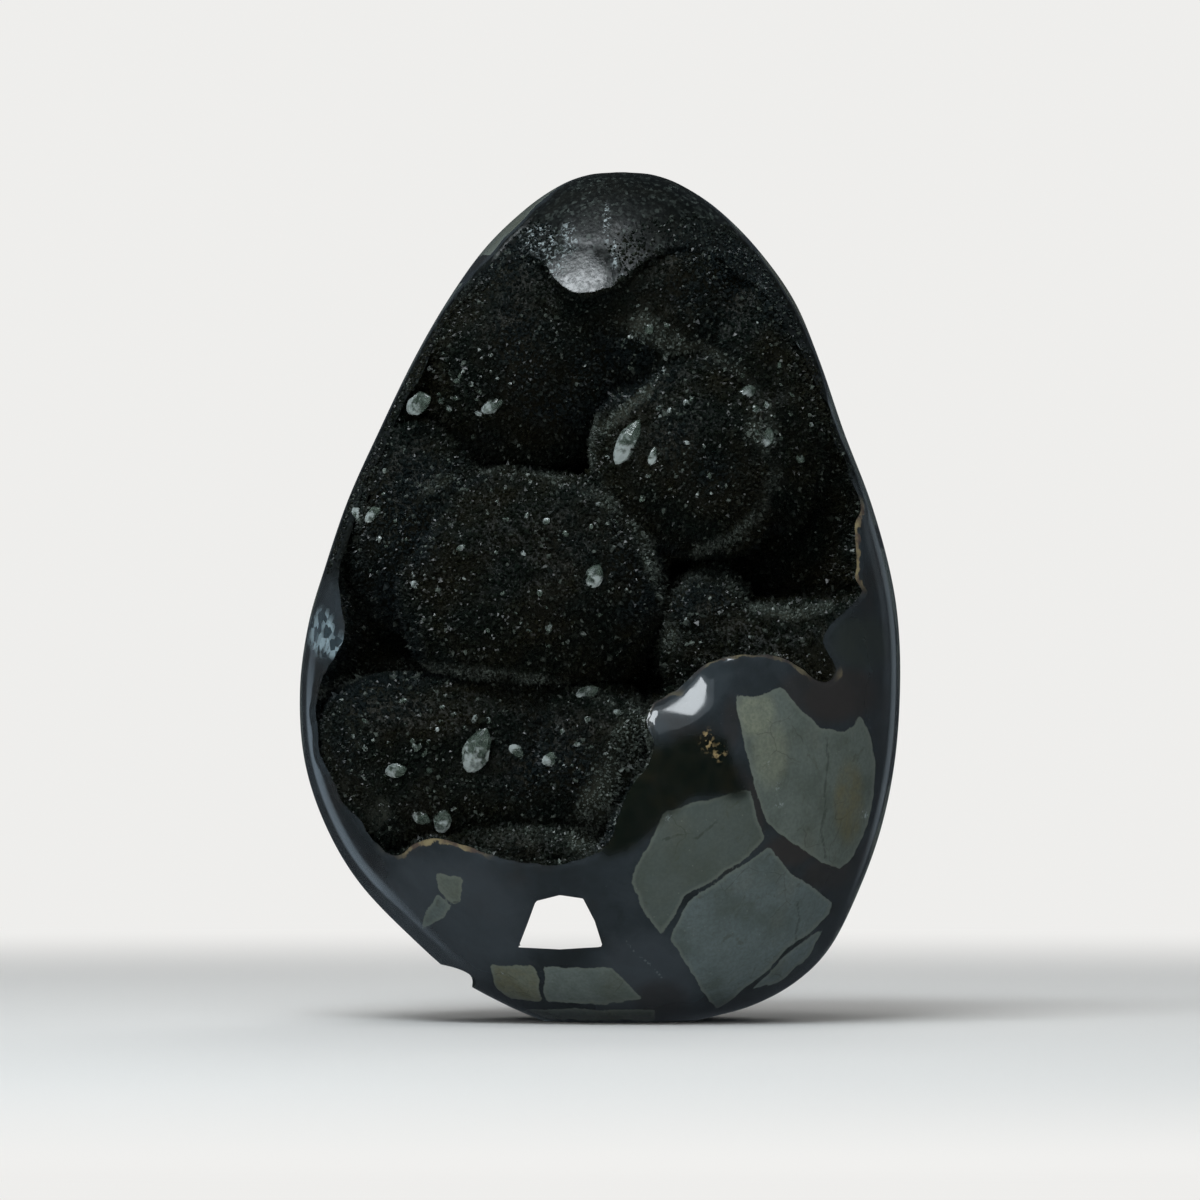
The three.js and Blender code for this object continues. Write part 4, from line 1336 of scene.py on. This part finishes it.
def pale_crystals(points, triangles, material):
    """The larger pale crystals and the scattered small ones, each on the crust behind its (x, height)."""
    tree = BVHTree.FromPolygons(points.tolist(), triangles.tolist())
    rng = np.random.default_rng(PALE_SEED)
    blades = list(BLADES)
    for x, height, reach_x, reach_z, count in PALE_PATCHES:
        for offset_x, offset_z in rng.normal(0, 0.5, (count, 2)):
            length = float(np.clip(rng.lognormal(0.0, PALE_SPREAD), *PALE_LENGTHS))
            blades.append((x + offset_x * reach_x, height + offset_z * reach_z, length,
                           length * rng.uniform(*PALE_WIDTHS), rng.uniform(0, 180)))
    all_points, all_faces, all_glint_and_tone, total = [], [], [], 0
    for index, (x, height, length, width, lean) in enumerate(blades):
        hit = tree.ray_cast(Vector((x, RAY_START, height)), Vector((0, 1, 0)))[0]
        if hit is None:
            continue
        outward = skin_normals(np.array([hit]))[0]
        facing = outward + (0, -1, 0)
        facing /= np.linalg.norm(facing)
        middle = np.array(hit) + facing * BLADE_STANDS_OUT * width - (0, RAISED_BLADES.get(index, 0), 0)
        made, faces, along = blade_mesh(middle, facing, length, width, lean, index)
        made -= outward * inward_shift(made, outward)
        if egg_distance(made).max() > 0:
            continue
        # painted glint: a long crystal is brightest at one end and darker along it
        bright = 1 - along if length > SMALL_BLADE else np.full(len(made), rng.uniform(*PALE_BRIGHTNESS))
        all_points.append(made)
        all_faces.append(faces + total)
        all_glint_and_tone.append(bright)
        total += len(made)
    return mesh_object("pale_crystals", np.vstack(all_points), np.vstack(all_faces), [material], smooth=False,
                       attributes={"bright": np.concatenate(all_glint_and_tone)})


def inward_shift(made, outward):
    """How far a crystal has to move in to stay under the egg's outline, or 0 where no move is enough."""
    for shift in np.linspace(0, MOST_SHIFT, SHIFT_STEPS):
        if egg_distance(made - outward * shift).max() < 0:
            return shift
    return 0.0


# Studio
CAMERA_DISTANCE = 2000.0
CAMERA_HEIGHT = 74.3
FRAME_WIDTH = 212.4
SENSOR_WIDTH = 36.0
CLIP_END = 20


def make_camera():
    """A far camera straight in front, whose frame is the photograph's."""
    data = bpy.data.cameras.new("camera")
    data.sensor_width = SENSOR_WIDTH
    data.lens = SENSOR_WIDTH * CAMERA_DISTANCE / FRAME_WIDTH
    data.clip_end = CLIP_END
    camera = bpy.data.objects.new("camera", data)
    camera.location = (0, -CAMERA_DISTANCE * MM, CAMERA_HEIGHT * MM)
    camera.rotation_euler = (math.pi / 2, 0, 0)
    bpy.context.scene.collection.objects.link(camera)
    bpy.context.scene.camera = camera


def area_light(name, at, aim, size, watts, tint, mirrored):
    """A softbox. One that isn't mirrored gives light but no reflection on the polished stone."""
    data = bpy.data.lights.new(name, "AREA")
    data.shape = "RECTANGLE"
    data.size, data.size_y = size[0] * MM, size[1] * MM
    data.energy = watts
    data.color = tint
    light = bpy.data.objects.new(name, data)
    light.location = Vector(at) * MM
    light.rotation_euler = (Vector(aim) - Vector(at)).to_track_quat("-Z", "Y").to_euler()
    light.visible_glossy = mirrored
    bpy.context.scene.collection.objects.link(light)


FLOOR_RADIUS = 900.0
BACKDROP_RADIUS = 3000.0
BACKDROP_CURVE = 600.0
BACKDROP_TOP = 4200.0
STAGE_SIDES = 96
STAGE_STEPS = 13


def make_stage():
    """A round floor, and a pale surround that neither lights the stone nor is mirrored by it."""
    floor_profile = [(radius, 0.0) for radius in np.linspace(0, FLOOR_RADIUS, STAGE_STEPS)]
    floor = stage_piece("studio_floor", floor_profile, floor_material())
    floor.visible_glossy = False
    profile = [(FLOOR_RADIUS, 0.0)]
    for angle in np.linspace(0, math.pi / 2, STAGE_STEPS):
        radius = BACKDROP_RADIUS + BACKDROP_CURVE * math.sin(angle)
        profile.append((radius, BACKDROP_CURVE * (1 - math.cos(angle))))
    profile.append((BACKDROP_RADIUS + BACKDROP_CURVE, BACKDROP_TOP))
    surround = stage_piece("studio_backdrop", profile, surround_material())
    surround.visible_diffuse = False
    surround.visible_glossy = False
    surround.visible_transmission = False
    surround.visible_shadow = False


def stage_piece(name, profile, material):
    """A surface of revolution from (radius, height) points."""
    turns = np.linspace(0, 2 * math.pi, STAGE_SIDES, endpoint=False)
    points = np.array([(radius * math.cos(turn), radius * math.sin(turn), height)
                       for radius, height in profile for turn in turns])
    piece = mesh_object(name, points, tube_quads(len(profile), STAGE_SIDES)[:, ::-1], [material])
    return piece


# Soft bright fields round the stone, which show as sheen near its outline: direction, reach across and up in
# radians, strength and tint
SHEENS = [
    ((-0.57, 0.79, -0.23), 0.13, 0.4, 0.6, (0.66, 0.84, 1.0)),
    ((0.49, 0.87, 0.0), 0.12, 0.26, 0.26, (0.72, 0.88, 1.0)),
    ((0.62, 0.7, 0.35), 0.1, 0.5, 0.1, (0.72, 0.88, 1.0)),
    ((-0.5, 0.7, 0.5), 0.1, 0.4, 0.08, (0.72, 0.88, 1.0)),
]
AMBIENT = (0.72, 0.86, 1.0, 1.0)
AMBIENT_STRENGTH = 0.045
SHEEN_CORE = 0.4  # share of its reach over which a field is even
SHEEN_AHEAD = 0.5  # least cosine between a field's direction and a place in it


def make_world():
    """Weak even light from all round, with the sheens added."""
    world = bpy.data.worlds.new("studio")
    bpy.context.scene.world = world
    world.use_nodes = True
    sky = Nodes(world.node_tree)
    background = sky.tree.nodes["Background"]
    sky.put(background.inputs["Color"], AMBIENT)
    sky.put(background.inputs["Strength"], AMBIENT_STRENGTH)
    direction = sky.node("ShaderNodeTexCoord").outputs["Generated"]
    total = background.outputs[0]
    for towards, reach_across, reach_up, strength, tint in SHEENS:
        forward = Vector(towards).normalized()
        across = forward.cross(Vector((0, 0, 1))).normalized()
        share = sky.math("GREATER_THAN", sky.dot(direction, forward), SHEEN_AHEAD)
        for axis, reach in ((across, reach_across), (across.cross(forward), reach_up)):
            gap = sky.math("SUBTRACT", sky.dot(direction, axis), forward.dot(axis))
            even = sky.step(sky.math("ABSOLUTE", gap), reach * SHEEN_CORE, reach, 1.0, 0.0)
            share = sky.math("MULTIPLY", share, even)
        inputs = {"Color": (*tint, 1.0), "Strength": sky.math("MULTIPLY", share, strength)}
        field = sky.node("ShaderNodeBackground", inputs)
        total = sky.node("ShaderNodeAddShader", {0: total, 1: field.outputs[0]}).outputs[0]
    sky.put(sky.tree.nodes["World Output"].inputs["Surface"], total)


NEUTRAL = (1.0, 1.0, 1.0)
WARM = (1.0, 0.98, 0.95)
# Softboxes: place, aim, size, power, tint and whether the polished stone mirrors it
LIGHTS = {
    "key softbox": ((-185, -395, 690), (0, -20, 110), (440, 190), 2.9, (0.9, 0.96, 1.0), True),
    "key glow": ((-195, -415, 720), (0, -20, 110), (780, 500), 0.9, (0.8, 0.92, 1.0), True),
    "front fill": ((-260, -800, 330), (0, 0, 60), (500, 400), 1.0, NEUTRAL, False),
    "low fill": ((60, -560, 12), (0, 0, 30), (500, 60), 0.48, NEUTRAL, False),
    "top fill": ((-60, -20, 800), (0, 0, 70), (400, 400), 1.2, NEUTRAL, False),
    "back fill": ((260, 900, 520), (0, 0, 70), (600, 500), 2.2, NEUTRAL, False),
    "floor light": ((0, -1500, 1500), (0, -200, 0), (1500, 600), 3.0, WARM, False),
    "floor back light": ((0, 1300, 1500), (0, 500, 0), (1500, 600), 3.6, WARM, False),
}


def dress():
    """Makes the stone's and the crust's pieces, which stand for the two solids."""
    skin, (band_points, band_triangles) = polished_skin(polished_material())
    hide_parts("polished_nodule")
    raw = raw_stone_material()
    stone_pieces = [skin, window_walls(raw), notch_floor(raw)]
    points, triangles = crust_surface()
    base = crust_base(points, triangles, crust_material())
    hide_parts("crystal_crust")
    grown_points = np.vstack([points, band_points])
    grown_triangles = np.vstack([triangles, band_triangles + len(points)])
    crust_pieces = [base, *small_crystals(grown_points, grown_triangles, grain_material()),
                    pale_crystals(points, triangles, pale_crystal_material())]
    for piece in stone_pieces:
        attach(piece, "root")
    for piece in crust_pieces:
        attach(piece, "root")


dress()
make_stage()
make_world()
for light_name, light_settings in LIGHTS.items():
    area_light(light_name, *light_settings)
make_camera()
bpy.context.scene.view_settings.view_transform = "Standard"
